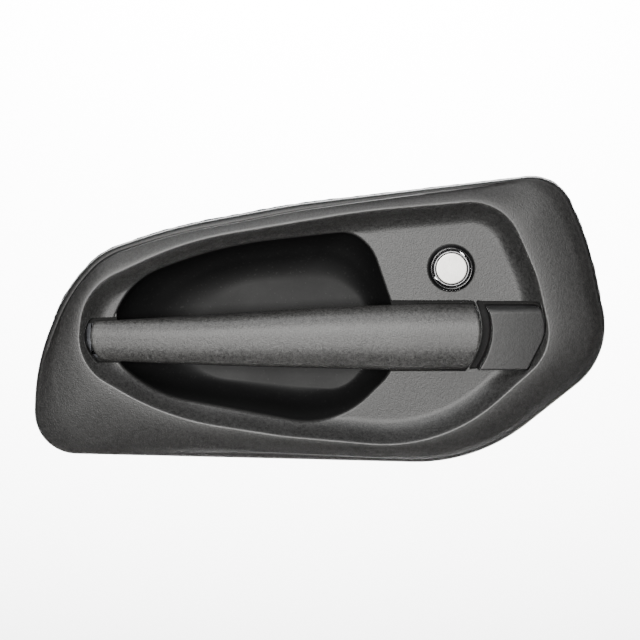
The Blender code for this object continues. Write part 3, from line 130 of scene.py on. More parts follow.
@dataclass(frozen=True)
class Outline:
    """A closed outline in the plane of the door."""

    points: np.ndarray

    def distance(self, places: np.ndarray) -> np.ndarray:
        """How far each place is from the outline."""
        start = self.points[None]
        side = np.roll(self.points, -1, axis=0)[None] - start
        away = places[:, None] - start
        length = np.maximum((side * side).sum(-1), 1e-12)
        share = np.clip((away * side).sum(-1) / length, 0, 1)
        return np.linalg.norm(away - side * share[..., None], axis=-1).min(axis=1)

    def holds(self, places: np.ndarray) -> np.ndarray:
        """Which places lie inside the outline."""
        a, b = self.points, np.roll(self.points, -1, axis=0)
        x, z = places[:, :1], places[:, 1:]
        crosses = (a[:, 1] > z) != (b[:, 1] > z)
        rise = np.where(a[:, 1] == b[:, 1], 1e-12, b[:, 1] - a[:, 1])
        left = x < (b[:, 0] - a[:, 0]) * (z - a[:, 1]) / rise + a[:, 0]
        return (crosses & left).sum(axis=1) % 2 == 1

    def along(self, centre: np.ndarray, directions: np.ndarray) -> np.ndarray:
        """Where rays from a centre leave the outline."""
        start = self.points - centre
        side = np.roll(start, -1, axis=0) - start
        d = directions[:, None]
        cross = d[..., 0] * side[:, 1] - d[..., 1] * side[:, 0]
        safe = np.where(abs(cross) < 1e-12, 1.0, cross)
        reach = (start[:, 0] * side[:, 1] - start[:, 1] * side[:, 0]) / safe
        share = (start[:, 0] * d[..., 1] - start[:, 1] * d[..., 0]) / safe
        good = (abs(cross) > 1e-12) & (share >= -1e-9) & (share <= 1 + 1e-9) & (reach > 0)
        return centre + directions * np.where(good, reach, -1.0).max(axis=1)[:, None]

    def spread(self, centre: np.ndarray, count: int) -> np.ndarray:
        """Unit directions from a centre to points spaced evenly along the outline."""
        closed = np.vstack([self.points, self.points[:1]])
        run = np.concatenate([[0], np.cumsum(np.linalg.norm(np.diff(closed, axis=0), axis=1))])
        at = np.arange(count) * run[-1] / count
        places = np.stack([np.interp(at, run, closed[:, k]) for k in (0, 1)], axis=1) - centre
        return places / np.linalg.norm(places, axis=1)[:, None]

    def grown(self, distance: float) -> np.ndarray:
        """The outline's points moved outwards along its own normals."""
        before, after = np.roll(self.points, 1, axis=0), np.roll(self.points, -1, axis=0)
        a = self.points - before
        b = after - self.points
        a /= np.maximum(np.linalg.norm(a, axis=1), 1e-9)[:, None]
        b /= np.maximum(np.linalg.norm(b, axis=1), 1e-9)[:, None]
        normal = np.stack([(a + b)[:, 1], -(a + b)[:, 0]], axis=1)
        normal /= np.maximum(np.linalg.norm(normal, axis=1), 1e-9)[:, None]
        lean = np.maximum((normal * np.stack([a[:, 1], -a[:, 0]], axis=1)).sum(-1), 0.5)
        return self.points + normal * (distance / lean)[:, None]


def curve(knots: Sequence[tuple[float, float]], at: np.ndarray) -> np.ndarray:
    """A smooth curve through knots.

    Args:
        knots: pairs of place and value, in order.
        at: places to read it at.

    Returns:
        The values there.
    """
    xs, ys = np.array(knots, float).T
    slopes = np.gradient(ys, xs)
    at = np.clip(at, xs[0], xs[-1])
    i = np.clip(np.searchsorted(xs, at, side="right") - 1, 0, len(xs) - 2)
    width = xs[i + 1] - xs[i]
    t = (at - xs[i]) / width
    rise = (2 * t**3 - 3 * t**2 + 1) * ys[i] + (3 * t**2 - 2 * t**3) * ys[i + 1]
    return rise + ((t**3 - 2 * t**2 + t) * slopes[i] + (t**3 - t**2) * slopes[i + 1]) * width


def ripple(at: np.ndarray, seed: float) -> np.ndarray:
    """Gentle irregular waves between about -1 and 1."""
    return (np.sin(at * 0.83 + seed) + np.sin(at * 1.91 + 2.1 * seed) + np.sin(at * 3.37 + 4.7 * seed)) / 2.4


# ---------------------------------------------------------------- meshes


def make_object(name: str, points: np.ndarray, faces: list[tuple[int, ...]]) -> bpy.types.Object:
    """A mesh object from points in millimetres, facing out.

    Args:
        name: the object's name.
        points: one row a vertex.
        faces: vertex numbers of each face.

    Returns:
        The linked object.
    """
    mesh = bpy.data.meshes.new(name)
    mesh.from_pydata((np.asarray(points, float) * MM).tolist(), [], faces)
    mesh.update()
    shape = bmesh.new()
    shape.from_mesh(mesh)
    if shape.calc_volume(signed=True) < 0:
        bmesh.ops.reverse_faces(shape, faces=shape.faces)
    shape.to_mesh(mesh)
    shape.free()
    obj = bpy.data.objects.new(name, mesh)
    bpy.context.scene.collection.objects.link(obj)
    return obj


def loft(
    name: str, rings: Sequence[np.ndarray], hollow: bool = False, strips: bool = False
) -> bpy.types.Object:
    """Joins rings of equally many points.

    Args:
        name: the object's name.
        rings: each ring's points in millimetres.
        hollow: the last ring joins the first, and no end is capped.
        strips: the ends are capped by strips between opposite points, which keeps a bowed end's bow.

    Returns:
        The closed object.
    """
    count = len(rings[0])
    points = np.vstack(rings)
    faces = []
    for r in range(len(rings) - (0 if hollow else 1)):
        here, there = r * count, (r + 1) % len(rings) * count
        for k in range(count):
            n = (k + 1) % count
            faces.append((here + k, here + n, there + n, there + k))
    last = len(points) - count
    if strips:
        pairs = [(k, k + 1, count - k - 1, (count - k) % count) for k in range(count // 2)]
        pairs = [tuple(dict.fromkeys(pair)) for pair in pairs]
        faces += [tuple(reversed(pair)) for pair in pairs]
        faces += [tuple(last + k for k in pair) for pair in pairs]
    elif not hollow:
        faces.append(tuple(reversed(range(count))))
        faces.append(tuple(range(last, last + count)))
    return make_object(name, points, faces)


def level(outline: np.ndarray, height: float | np.ndarray) -> np.ndarray:
    """An outline's points at one height in front of the door skin, or at one height each."""
    heights = np.broadcast_to(np.asarray(height, float).reshape(-1), (len(outline),))
    return np.stack([outline[:, 0], -heights, outline[:, 1]], axis=1)


class Axis(Enum):
    """The line that a turned piece is turned about."""

    X = (0, 1, 2)
    Y = (1, 0, 2)
    Z = (2, 0, 1)

    def place(self, along: np.ndarray, across: np.ndarray, up: np.ndarray) -> np.ndarray:
        """Points from their place along the axis and their two coordinates across it."""
        columns = [along, across, up]
        return np.stack([columns[self.value.index(k)] for k in range(3)], axis=-1)


Lobes = Callable[[np.ndarray], np.ndarray]


def round_lobe(angle: np.ndarray) -> np.ndarray:
    """A plain circle's share of its radius."""
    return np.ones_like(angle)


def hex_lobe(angle: np.ndarray) -> np.ndarray:
    """A hexagon's reach as a share of its corner radius."""
    return math.cos(math.pi / 6) / np.cos(angle % (math.pi / 3) - math.pi / 6)


def star_lobe(angle: np.ndarray) -> np.ndarray:
    """A six-lobed socket's reach as a share of its mean radius."""
    return 1 + 0.13 * np.cos(6 * angle)


def turned(
    name: str,
    axis: Axis,
    centre: tuple[float, float],
    profile: Sequence[tuple],
    hollow: bool = False,
    sides: int = 64,
) -> bpy.types.Object:
    """A piece turned about a line.

    Args:
        name: the object's name.
        axis: the line's direction.
        centre: the line's place across its direction.
        profile: place along the line, radius and, if it isn't round, the lobes of each ring.
        hollow: the profile closes on itself.
        sides: points in each ring.

    Returns:
        The closed object.
    """
    angle = np.arange(sides) * 2 * math.pi / sides
    rings = []
    for along, radius, *lobes in profile:
        reach = radius * (lobes[0] if lobes else round_lobe)(angle)
        across, up = centre[0] + reach * np.cos(angle), centre[1] + reach * np.sin(angle)
        rings.append(axis.place(np.full(sides, float(along)), across, up))
    return loft(name, rings, hollow)


def soft_profile(
    profile: Sequence[tuple[float, float]], radius: float, closed: bool
) -> list[tuple[float, float]]:
    """Rounds the corners of a turned profile.

    Args:
        profile: place along and radius of each corner.
        radius: of the rounding, limited by each corner's sides.
        closed: the profile closes on itself.

    Returns:
        The rounded profile.
    """
    result = []
    for i, (along, reach) in enumerate(profile):
        if not closed and i in (0, len(profile) - 1):
            result.append((along, reach))
            continue
        here = np.array([along, reach])
        before = np.array(profile[i - 1]) - here
        after = np.array(profile[(i + 1) % len(profile)]) - here
        cut = min(radius, 0.45 * np.linalg.norm(before), 0.45 * np.linalg.norm(after))
        a, b = here + before / np.linalg.norm(before) * cut, here + after / np.linalg.norm(after) * cut
        for t in (0.0, 0.33, 0.67, 1.0):
            point = (1 - t) ** 2 * a + 2 * t * (1 - t) * here + t**2 * b
            result.append((float(point[0]), float(point[1])))
    return result


def sweep(name: str, path: np.ndarray, radius: float, sides: int = 12) -> bpy.types.Object:
    """A round wire along a path.

    Args:
        name: the object's name.
        path: points in millimetres.
        radius: of the wire.
        sides: points round it.

    Returns:
        The closed object.
    """
    heading = np.gradient(path, axis=0)
    heading /= np.linalg.norm(heading, axis=1)[:, None]
    side = np.cross(heading[0], [0.31, 0.87, 0.39])
    rings = []
    angle = np.arange(sides) * 2 * math.pi / sides
    for point, ahead in zip(path, heading):
        side = side - ahead * (side @ ahead)
        side /= np.linalg.norm(side)
        other = np.cross(ahead, side)
        rings.append(point + radius * (np.outer(np.cos(angle), side) + np.outer(np.sin(angle), other)))
    return loft(name, rings)


def settle(obj: bpy.types.Object) -> bpy.types.Object:
    """Replaces an object's mesh by what its modifiers make of it."""
    graph = bpy.context.evaluated_depsgraph_get()
    graph.update()
    mesh = bpy.data.meshes.new_from_object(obj.evaluated_get(graph))
    obj.modifiers.clear()
    obj.data = mesh
    return obj


def combine(obj: bpy.types.Object, others: Sequence[bpy.types.Object], operation: str) -> bpy.types.Object:
    """Joins or cuts an object by others, which are then removed.

    Args:
        obj: the object that is changed.
        others: the helpers.
        operation: UNION or DIFFERENCE.

    Returns:
        The object.
    """
    for other in others:
        modifier = obj.modifiers.new(other.name, "BOOLEAN")
        modifier.operation = operation
        modifier.object = other
        modifier.solver = "EXACT"
        settle(obj)
        bpy.data.objects.remove(other, do_unlink=True)
    return obj


def shade(obj: bpy.types.Object, sharp: float = 40.0, weighted: bool = False) -> bpy.types.Object:
    """Shades an object smooth but for its sharp edges.

    Args:
        obj: the object.
        sharp: the angle in degrees from which an edge stays sharp.
        weighted: large faces set the normals, which hides the slivers that a cut leaves.

    Returns:
        The object.
    """
    obj.data.shade_smooth()
    obj.data.set_sharp_from_angle(angle=math.radians(sharp))
    if weighted:
        modifier = obj.modifiers.new("weighted_normals", "WEIGHTED_NORMAL")
        modifier.keep_sharp = True
        modifier.weight = 50
        settle(obj)
    return obj


def mark(obj: bpy.types.Object, name: str, values: np.ndarray) -> None:
    """Stores one value a vertex for the object's material to read."""
    attribute = obj.data.attributes.new(name, "FLOAT", "POINT")
    attribute.data.foreach_set("value", np.asarray(values, np.float32))


def vertices(obj: bpy.types.Object) -> np.ndarray:
    """An object's vertices in millimetres."""
    points = np.zeros(len(obj.data.vertices) * 3, np.float32)
    obj.data.vertices.foreach_get("co", points)
    return points.reshape(-1, 3).astype(float) / MM


# ---------------------------------------------------------------- shader expressions


class Value:
    """A shader socket that adds Math nodes where it stands in an expression."""

    def __init__(self, tree: Tree, socket: bpy.types.NodeSocket) -> None:
        """Wraps a socket of a tree."""
        self.tree = tree
        self.socket = socket

    def _math(self, operation: str, first: Value | float, second: Value | float) -> Value:
        """The result of a Math node on two values."""
        return self.tree.add("ShaderNodeMath", {"operation": operation}, {0: first, 1: second})

    def __add__(self, other: Value | float) -> Value:
        """The sum."""
        return self._math("ADD", self, other)

    def __radd__(self, other: float) -> Value:
        """The sum, from the right."""
        return self._math("ADD", other, self)

    def __sub__(self, other: Value | float) -> Value:
        """The difference."""
        return self._math("SUBTRACT", self, other)

    def __rsub__(self, other: float) -> Value:
        """The difference, from the right."""
        return self._math("SUBTRACT", other, self)

    def __mul__(self, other: Value | float) -> Value:
        """The product."""
        return self._math("MULTIPLY", self, other)

    def __rmul__(self, other: float) -> Value:
        """The product, from the right."""
        return self._math("MULTIPLY", other, self)

    def __pow__(self, other: float) -> Value:
        """The power."""
        return self._math("POWER", self, other)


class Tree:
    """The nodes of one material."""

    def __init__(self, name: str) -> None:
        """Makes a material with a Principled shader."""
        self.material = bpy.data.materials.new(name)
        self.material.use_nodes = True
        self.nodes = self.material.node_tree.nodes
        self.shader = self.nodes["Principled BSDF"]

    def add(
        self, kind: str, settings: dict | None = None, sockets: dict | None = None, output: int | str = 0
    ) -> Value:
        """Adds a node.

        Args:
            kind: the node's type.
            settings: its properties, which are set first; "stops" are a ramp's places and greys.
            sockets: values or links of its inputs, by name or number.
            output: which output to give.

        Returns:
            The output, wrapped.
        """
        node = self.nodes.new(kind)
        for key, value in (settings or {}).items():
            if key == "stops":
                while len(node.color_ramp.elements) < len(value):
                    node.color_ramp.elements.new(0.5)
                for element, (place, grey) in zip(node.color_ramp.elements, value):
                    element.position = place
                    element.color = (grey, grey, grey, 1.0)
            else:
                setattr(node, key, value)
        self.link(node, sockets or {})
        return Value(self, node.outputs[output])

    def link(self, node: bpy.types.Node, sockets: dict) -> None:
        """Sets or links a node's inputs."""
        for key, value in sockets.items():
            if isinstance(value, Value):
                self.material.node_tree.links.new(value.socket, node.inputs[key])
            else:
                node.inputs[key].default_value = value

    def place(self) -> Value:
        """The object's own coordinates."""
        return self.add("ShaderNodeTexCoord", output="Object")

    def noise(
        self, place: Value, size: float, detail: float = 2.0, rough: float = 0.5, stretch: float = 0.0
    ) -> Value:
        """Noise whose features have a size in millimetres."""
        sockets = {"Vector": place, "Scale": 1 / (size * MM), "Detail": detail, "Roughness": rough}
        sockets["Distortion"] = stretch
        return self.add("ShaderNodeTexNoise", {}, sockets)

    def ramp(self, value: Value, low: float, high: float) -> Value:
        """A value stretched so that low gives 0 and high gives 1."""
        return self.add("ShaderNodeMapRange", {}, {"Value": value, "From Min": low, "From Max": high})

    def mark(self, name: str) -> Value:
        """A value that the mesh stores at its vertices."""
        return self.add("ShaderNodeAttribute", {"attribute_name": name}, output="Fac")

    def mix(self, share: Value | float, first: Value | tuple, second: Value | tuple) -> Value:
        """A mix of two colours."""
        colours = [c if isinstance(c, Value) else (*c, 1.0) for c in (first, second)]
        return self.add("ShaderNodeMix", {"data_type": "RGBA"}, {0: share, 6: colours[0], 7: colours[1]}, 2)

    def bump(self, height: Value, depth: float, strength: float = 1.0) -> Value:
        """A bumped normal from a height, whose depth is in millimetres."""
        sockets = {"Height": height, "Distance": depth * MM, "Strength": strength}
        return self.add("ShaderNodeBump", {}, sockets)

    def shine(self, **sockets: Value | float | tuple) -> bpy.types.Material:
        """Sets the shader's sockets, by names with _ for spaces, and gives the material."""
        self.link(self.shader, {key.replace("_", " "): value for key, value in sockets.items()})
        return self.material


def tinted(colour: tuple[float, float, float], share: float) -> tuple[float, float, float]:
    """A colour made lighter or darker."""
    return tuple(min(1.0, c * share) for c in colour)


# ---------------------------------------------------------------- finishes

Colour = tuple[float, float, float]


@dataclass(frozen=True)
class GrainedPlastic:
    """Moulded plastic with a fine spark-eroded grain, lighter inside the ridge, with a painted highlight along
    marked edges and painted shade in marked recesses.
    """

    name: str
    colour: Colour
    inner: Colour
    roughness: float = 0.42
    contrast: float = 0.34
    fleck: float = 0.62
    depth: float = 0.035
    sheen: float = 0.7

    def make(self) -> bpy.types.Material:
        """Builds the material."""
        tree = Tree(self.name)
        place = tree.place()
        fine = tree.noise(place, self.fleck, 2.0, 0.55)
        coarse = tree.noise(place, self.fleck * 2.7, 2.0, 0.5)
        cloud = tree.noise(place, 30.0, 2.0, 0.5)
        fleck = tree.ramp(fine * 0.6 + coarse * 0.3 + cloud * 0.1, 0.36, 0.64)
        inner = tree.mark("inner")
        dark = tree.mix(inner, tinted(self.colour, 1 - self.contrast), tinted(self.inner, 1 - self.contrast))
        light = tree.mix(inner, tinted(self.colour, 1 + self.contrast), tinted(self.inner, 1 + self.contrast))
        # Painted highlight: marked edges are lightened towards a pale grey, broken up by the coarse noise, and
        # made a little glossier.
        wear = tree.mark("wear") * (0.55 + 0.6 * coarse)
        # Painted shade: marked recesses are darkened almost to black and made rougher.
        pit = tree.mark("pit")
        highlighted = tree.mix(wear, tree.mix(fleck, dark, light), tinted(self.inner, 2.1))
        colour = tree.mix(pit, highlighted, tinted(self.colour, 0.08))
        rough = self.roughness + 0.10 * coarse - 0.16 * wear + 0.4 * pit
        return tree.shine(
            Base_Color=colour, Roughness=rough, Specular_IOR_Level=self.sheen,
            Normal=tree.bump(fleck, self.depth, 0.8),
        )


@dataclass(frozen=True)
class SatinPlastic:
    """Smooth dark plastic with a trace of grain, dust and fine rub marks."""

    name: str
    colour: Colour
    roughness: float = 0.42
    dust: float = 0.35
    depth: float = 0.012

    def make(self) -> bpy.types.Material:
        """Builds the material."""
        tree = Tree(self.name)
        place = tree.place()
        fine = tree.noise(place, 0.9, 2.0, 0.5)
        cloud = tree.noise(place, 22.0, 3.0, 0.55)
        speck = tree.ramp(tree.noise(place, 1.15, 0.0, 0.5), 0.735, 0.775) * self.dust
        shade_of = tree.mix(cloud, tinted(self.colour, 0.75), tinted(self.colour, 1.3))
        colour = tree.mix(speck, shade_of, (0.16, 0.16, 0.155))
        rough = self.roughness + 0.14 * cloud + 0.05 * fine
        return tree.shine(
            Base_Color=colour, Roughness=rough, Specular_IOR_Level=0.4,
            Normal=tree.bump(fine, self.depth, 0.6),
        )


@dataclass(frozen=True)
class GlossPlastic:
    """Glossy plastic with faint orange peel and wiping marks."""

    name: str
    colour: Colour
    roughness: float = 0.16

    def make(self) -> bpy.types.Material:
        """Builds the material."""
        tree = Tree(self.name)
        place = tree.place()
        peel = tree.noise(place, 1.6, 1.0, 0.4)
        wipe = tree.noise(place, 6.0, 3.0, 0.6, 1.5)
        colour = tree.mix(wipe, tinted(self.colour, 0.8), tinted(self.colour, 1.5))
        return tree.shine(
            Base_Color=colour, Roughness=self.roughness + 0.12 * wipe, Normal=tree.bump(peel, 0.006, 0.5)
        )


@dataclass(frozen=True)
class Metal:
    """Plated, cast or bright metal, from its colour, how rough it is and how coarse its skin is."""

    name: str
    colour: Colour
    roughness: float = 0.35
    skin: float = 1.2
    depth: float = 0.02
    stain: float = 0.18

    def make(self) -> bpy.types.Material:
        """Builds the material."""
        tree = Tree(self.name)
        place = tree.place()
        fine = tree.noise(place, self.skin, 3.0, 0.6)
        cloud = tree.noise(place, 9.0, 3.0, 0.6, 0.6)
        patch = tree.ramp(cloud, 0.35, 0.7)
        colour = tree.mix(
            patch, tinted(self.colour, 1 - self.stain), tinted(self.colour, 1 + 0.4 * self.stain)
        )
        rough = self.roughness + 0.16 * fine - 0.10 * patch
        return tree.shine(
            Base_Color=colour, Roughness=rough, Metallic=1.0, Normal=tree.bump(fine, self.depth, 0.5)
        )


@dataclass(frozen=True)
class PolishedMetal:
    """A lapped metal face with hair-fine circular and crossing scratches."""

    name: str
    colour: Colour
    roughness: float = 0.2

    def make(self) -> bpy.types.Material:
        """Builds the material."""
        tree = Tree(self.name)
        place = tree.place()
        stretched = tree.add(
            "ShaderNodeVectorMath", {"operation": "MULTIPLY"}, {0: place, 1: (1.0, 1.0, 0.06)}, "Vector"
        )
        hair = tree.ramp(tree.noise(stretched, 0.22, 2.0, 0.5), 0.60, 0.72)
        haze = tree.noise(place, 5.0, 2.0, 0.5)
        colour = tree.mix(hair * 0.2, self.colour, tinted(self.colour, 0.8))
        rough = self.roughness + 0.10 * haze + 0.10 * hair
        return tree.shine(
            Base_Color=colour, Roughness=rough, Metallic=1.0, Normal=tree.bump(haze, 0.002, 0.4)
        )


@dataclass(frozen=True)
class SoftMaterial:
    """Foam or rubber: open pores for foam, a fine mould skin for rubber."""

    name: str
    colour: Colour
    pore: float = 0.7
    depth: float = 0.12

    def make(self) -> bpy.types.Material:
        """Builds the material."""
        tree = Tree(self.name)
        place = tree.place()
        cell = tree.add(
            "ShaderNodeTexVoronoi", {"feature": "F1"}, {"Vector": place, "Scale": 1 / (self.pore * MM)},
            "Distance",
        )
        cloud = tree.noise(place, 4.0, 3.0, 0.6)
        colour = tree.mix(
            tree.ramp(cell + 0.3 * cloud, 0.2, 0.8), tinted(self.colour, 1.5), tinted(self.colour, 0.5)
        )
        return tree.shine(
            Base_Color=colour, Roughness=0.82 + 0.12 * cloud, Specular_IOR_Level=0.3,
            Normal=tree.bump(cell, self.depth, 0.8),
        )


class Finish(Enum):
    """The handle's finishes."""

    BEZEL = GrainedPlastic(
        "bezel_plastic", (0.015, 0.0146, 0.0144), (0.028, 0.028, 0.0277), 0.42, 0.85, 0.62, 0.07
    )
    CAP = GrainedPlastic(
        "cap_plastic", (0.0135, 0.0135, 0.0136), (0.016, 0.016, 0.0162), 0.46, 0.8, 0.62, 0.06
    )
    GRIP = GrainedPlastic(
        "grip_plastic", (0.045, 0.0445, 0.0435), (0.045, 0.0445, 0.0435), 0.41, 0.95, 0.6, 0.06
    )
    GRIP_CORE = SatinPlastic("core_nylon", (0.022, 0.022, 0.023), 0.55, 0.1, 0.03)
    CUP = SatinPlastic("cup_plastic", (0.0055, 0.0055, 0.0058), 0.5, 0.08)
    MOULDED = SatinPlastic("moulded_black", (0.014, 0.014, 0.015), 0.45, 0.1)
    GLOSS = GlossPlastic("collar_plastic", (0.004, 0.004, 0.0045))
    NYLON = SatinPlastic("natural_nylon", (0.56, 0.53, 0.46), 0.5, 0.05, 0.02)
    FOAM = SoftMaterial("gasket_foam", (0.016, 0.016, 0.016))
    RUBBER = SoftMaterial("buffer_rubber", (0.013, 0.013, 0.013), 0.35, 0.03)
    DISC = PolishedMetal("disc_steel", (0.50, 0.49, 0.47), 0.32)
    ZINC = Metal("bright_zinc", (0.60, 0.60, 0.57), 0.30, 1.6)
    BLACK_ZINC = Metal("black_zinc", (0.045, 0.046, 0.050), 0.38, 1.4, 0.02, 0.35)
    STEEL = Metal("bright_steel", (0.48, 0.47, 0.46), 0.24, 0.6, 0.008)
    DIECAST = Metal("cast_zinc", (0.42, 0.42, 0.43), 0.44, 0.8, 0.04)
    BRASS = Metal("brass_blade", (0.72, 0.53, 0.24), 0.24, 0.9, 0.006)

    def material(self) -> bpy.types.Material:
        """The finish's material, made once."""
        found = bpy.data.materials.get(self.value.name)
        return found or self.value.make()


def present(obj: bpy.types.Object, finish: Finish, *nodes: str) -> bpy.types.Object:
    """Dresses a piece and lets it stand for CAD nodes.

    Args:
        obj: the piece, in place.
        finish: its finish.
        nodes: the CAD nodes that it stands for, all on one body.

    Returns:
        The piece.
    """
    obj.data.materials.clear()
    obj.data.materials.append(finish.material())
    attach(obj, BODY_OF[nodes[0]])
    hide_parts(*nodes)
    LOG.info("%s stands for %s, %d faces", obj.name, ", ".join(nodes), len(obj.data.polygons))
    return obj


# ---------------------------------------------------------------- the bezel's face

BEZEL_EXTENT = Extent.of("bezel")
GRIP_EXTENT = Extent.of("grip_cover")
GRIP_Z = JOINTS["grip_pull"]["pos_m"][2] / MM
CAP_EXTENT = Extent.of("end_cap")


def from_middle(corners: Sequence[tuple[float, float, float]]) -> Outline:
    """An outline whose rounded corners are given from the middle of the bezel."""
    x, _, z = BEZEL_EXTENT.middle
    return Outline(rounded([(x + a, z + b, radius) for a, b, radius in corners]))


@dataclass
class Face:
    """The bezel's outlines and the height of its face."""

    rim_height: float = 7.0
    crown: float = 1.7
    dish_height: float = 3.0
    dish_wall: float = 10.0
    ridge_rounding: float = 1.1
    rays: int = 420
    ray_centre: tuple[float, float] = (-30.0, -10.0)
    rim: Outline = field(init=False)
    ridge: Outline = field(init=False)
    opening: Outline = field(init=False)
    cup_floor: Outline = field(init=False)

    def __post_init__(self) -> None:
        """Draws the outlines and reads them along common rays."""
        self.ridge_height = -BEZEL_EXTENT.low[1]
        self.rim = from_middle([
            (-143.0, -66.75, 21), (79.0, -72.25, 88), (146.5, -17.75, 37), (134.0, 38.25, 164),
            (118.0, 73.25, 22),
            (-11.5, 57.75, 300), (-73.0, 46.25, 254), (-109.5, 33.75, 40), (-127.0, 13.25, 87),
            (-141.5, -22.75, 111),
        ])
        self.ridge = from_middle([
            (-120.5, -21.75, 26), (-75.0, -48.25, 135), (-18.0, -57.25, 213), (61.5, -64.25, 83),
            (116.5, -14.25, 26),
            (107.5, 23.25, 79), (90.5, 60.75, 26), (21.5, 54.75, 411), (-65.0, 40.25, 170),
            (-116.0, 16.75, 30),
        ])
        self.opening = from_middle([
            (-108.0, -14.75, 38), (-82.5, -37.25, 60), (8.0, -54.25, 43), (45.0, -17.75, 33),
            (26.5, 35.75, 66),
            (16.0, 44.25, 16), (-47.5, 37.25, 213), (-95.0, 19.75, 40),
        ])
        self.cup_floor = from_middle([
            (-71.8, -15.75, 26), (-57.8, -33.75, 24), (12.8, -40.75, 18), (30.8, -17.75, 18),
            (16.8, 18.25, 26),
            (-47.8, 14.25, 40),
        ])
        centre = np.array(self.ray_centre)
        directions = self.rim.spread(centre, self.rays)
        self.at_rim = self.rim.along(centre, directions)
        self.at_ridge = self.ridge.along(centre, directions)
        self.at_opening = self.opening.along(centre, directions)
        self.at_floor = self.cup_floor.along(centre, directions)
        self.rim_width = np.linalg.norm(self.at_rim - self.at_ridge, axis=1)[:, None]
        self.dish_width = np.linalg.norm(self.at_ridge - self.at_opening, axis=1)[:, None]

    def inside_rim(self, distance: float) -> np.ndarray:
        """The ray points this far inside the rim."""
        return self.at_rim + (self.at_ridge - self.at_rim) * (distance / self.rim_width)

    def outside_ridge(self, distance: float) -> np.ndarray:
        """The ray points this far outside the ridge."""
        return self.at_ridge + (self.at_rim - self.at_ridge) * (distance / self.rim_width)

    def outside_opening(self, distance: float, most: float = 1.0) -> np.ndarray:
        """The ray points this far outside the opening, or a share of the way to the ridge."""
        share = np.minimum(distance / self.dish_width, most)
        return self.at_opening + (self.at_ridge - self.at_opening) * share

    def inside_ridge(self, distance: float, most: float) -> np.ndarray:
        """The ray points truly this far inside the ridge, or a share of the way to the opening."""
        near, far = np.zeros((self.rays, 1)), np.full((self.rays, 1), most)
        for _ in range(14):
            half = (near + far) / 2
            places = self.at_ridge + (self.at_opening - self.at_ridge) * half
            reached = self.ridge.distance(places)[:, None] >= distance
            near, far = np.where(reached, near, half), np.where(reached, half, far)
        return self.at_ridge + (self.at_opening - self.at_ridge) * far

    def dish(self, places: np.ndarray) -> np.ndarray:
        """The height of the dish, which rises to the ridge along a rounded wall."""
        away = self.ridge.distance(places)
        away = np.sqrt(away**2 + self.ridge_rounding**2) - self.ridge_rounding
        wall = np.clip(1 - away / self.dish_wall, 0, 1)
        return self.dish_height + (self.ridge_height - self.dish_height) * wall**2

    def brim(self, places: np.ndarray) -> np.ndarray:
        """The height of the crowned rim between its edge and the ridge."""
        edge, inner = self.rim.distance(places), self.ridge.distance(places)
        share = edge / np.maximum(edge + inner, 1e-6)
        return self.rim_height + (self.ridge_height - self.rim_height) * (1 - (1 - share) ** self.crown)

    def height(self, places: np.ndarray) -> np.ndarray:
        """The height of the face at any place on the bezel."""
        return np.where(self.ridge.holds(places), self.dish(places), self.brim(places))


@dataclass
class GripLine:
    """The grip's edges, ends and face, which the bezel's slots follow too."""

    end_bow: float = 0.0175
    tail_bow: float = 0.034
    end_level: float = 3.5
    tail_level: float = 0.5

    def __post_init__(self) -> None:
        """Reads the grip's ends from its box and draws its edges between them."""
        left = GRIP_EXTENT.low[0] - self.tail_bow * 0.2
        right = GRIP_EXTENT.high[0] + 0.2
        self.left, self.right = left, right
        self.top = [(left, 7.9), (left + 55, 10.5), (right - 79, 14.5), (right - 25, 16.4), (right, 16.4)]
        self.bottom = [
            (left, -11.9), (left + 55, -14.1), (right - 79, -15.6), (right - 25, -16.4), (right, -15.8)
        ]
        self.face = [(left, 8.0), (left + 24, 9.8), (left + 84, 12.6), (right - 50, 14.2), (right, 14.5)]

    def edges(self, x: np.ndarray) -> tuple[np.ndarray, np.ndarray]:
        """The grip's bottom and top edge along it."""
        return GRIP_Z + curve(self.bottom, x), GRIP_Z + curve(self.top, x)

    def latch_end(self, z: np.ndarray, reach: float = 0.0) -> np.ndarray:
        """The bowed end at the latch, moved on by a reach."""
        return self.right + reach - self.end_bow * (z - GRIP_Z - self.end_level) ** 2

    def hinge_end(self, z: np.ndarray, reach: float = 0.0) -> np.ndarray:
        """The bowed end at the hinge, moved back by a reach."""
        return self.left - reach + self.tail_bow * (z - GRIP_Z - self.tail_level) ** 2


def bowed(
    places: np.ndarray, levels: np.ndarray, low: float, high: float
) -> list[tuple[float, float, float]]:
    """An end's points as corners, the first and last of them rounded.

    Args:
        places: x of each point.
        levels: z of each point.
        low: radius at the first point.
        high: radius at the last point.

    Returns:
        The corners.
    """
    radii = np.zeros(len(levels))
    radii[0], radii[-1] = low, high
    return [(float(x), float(z), float(r)) for x, z, r in zip(places, levels, radii)]


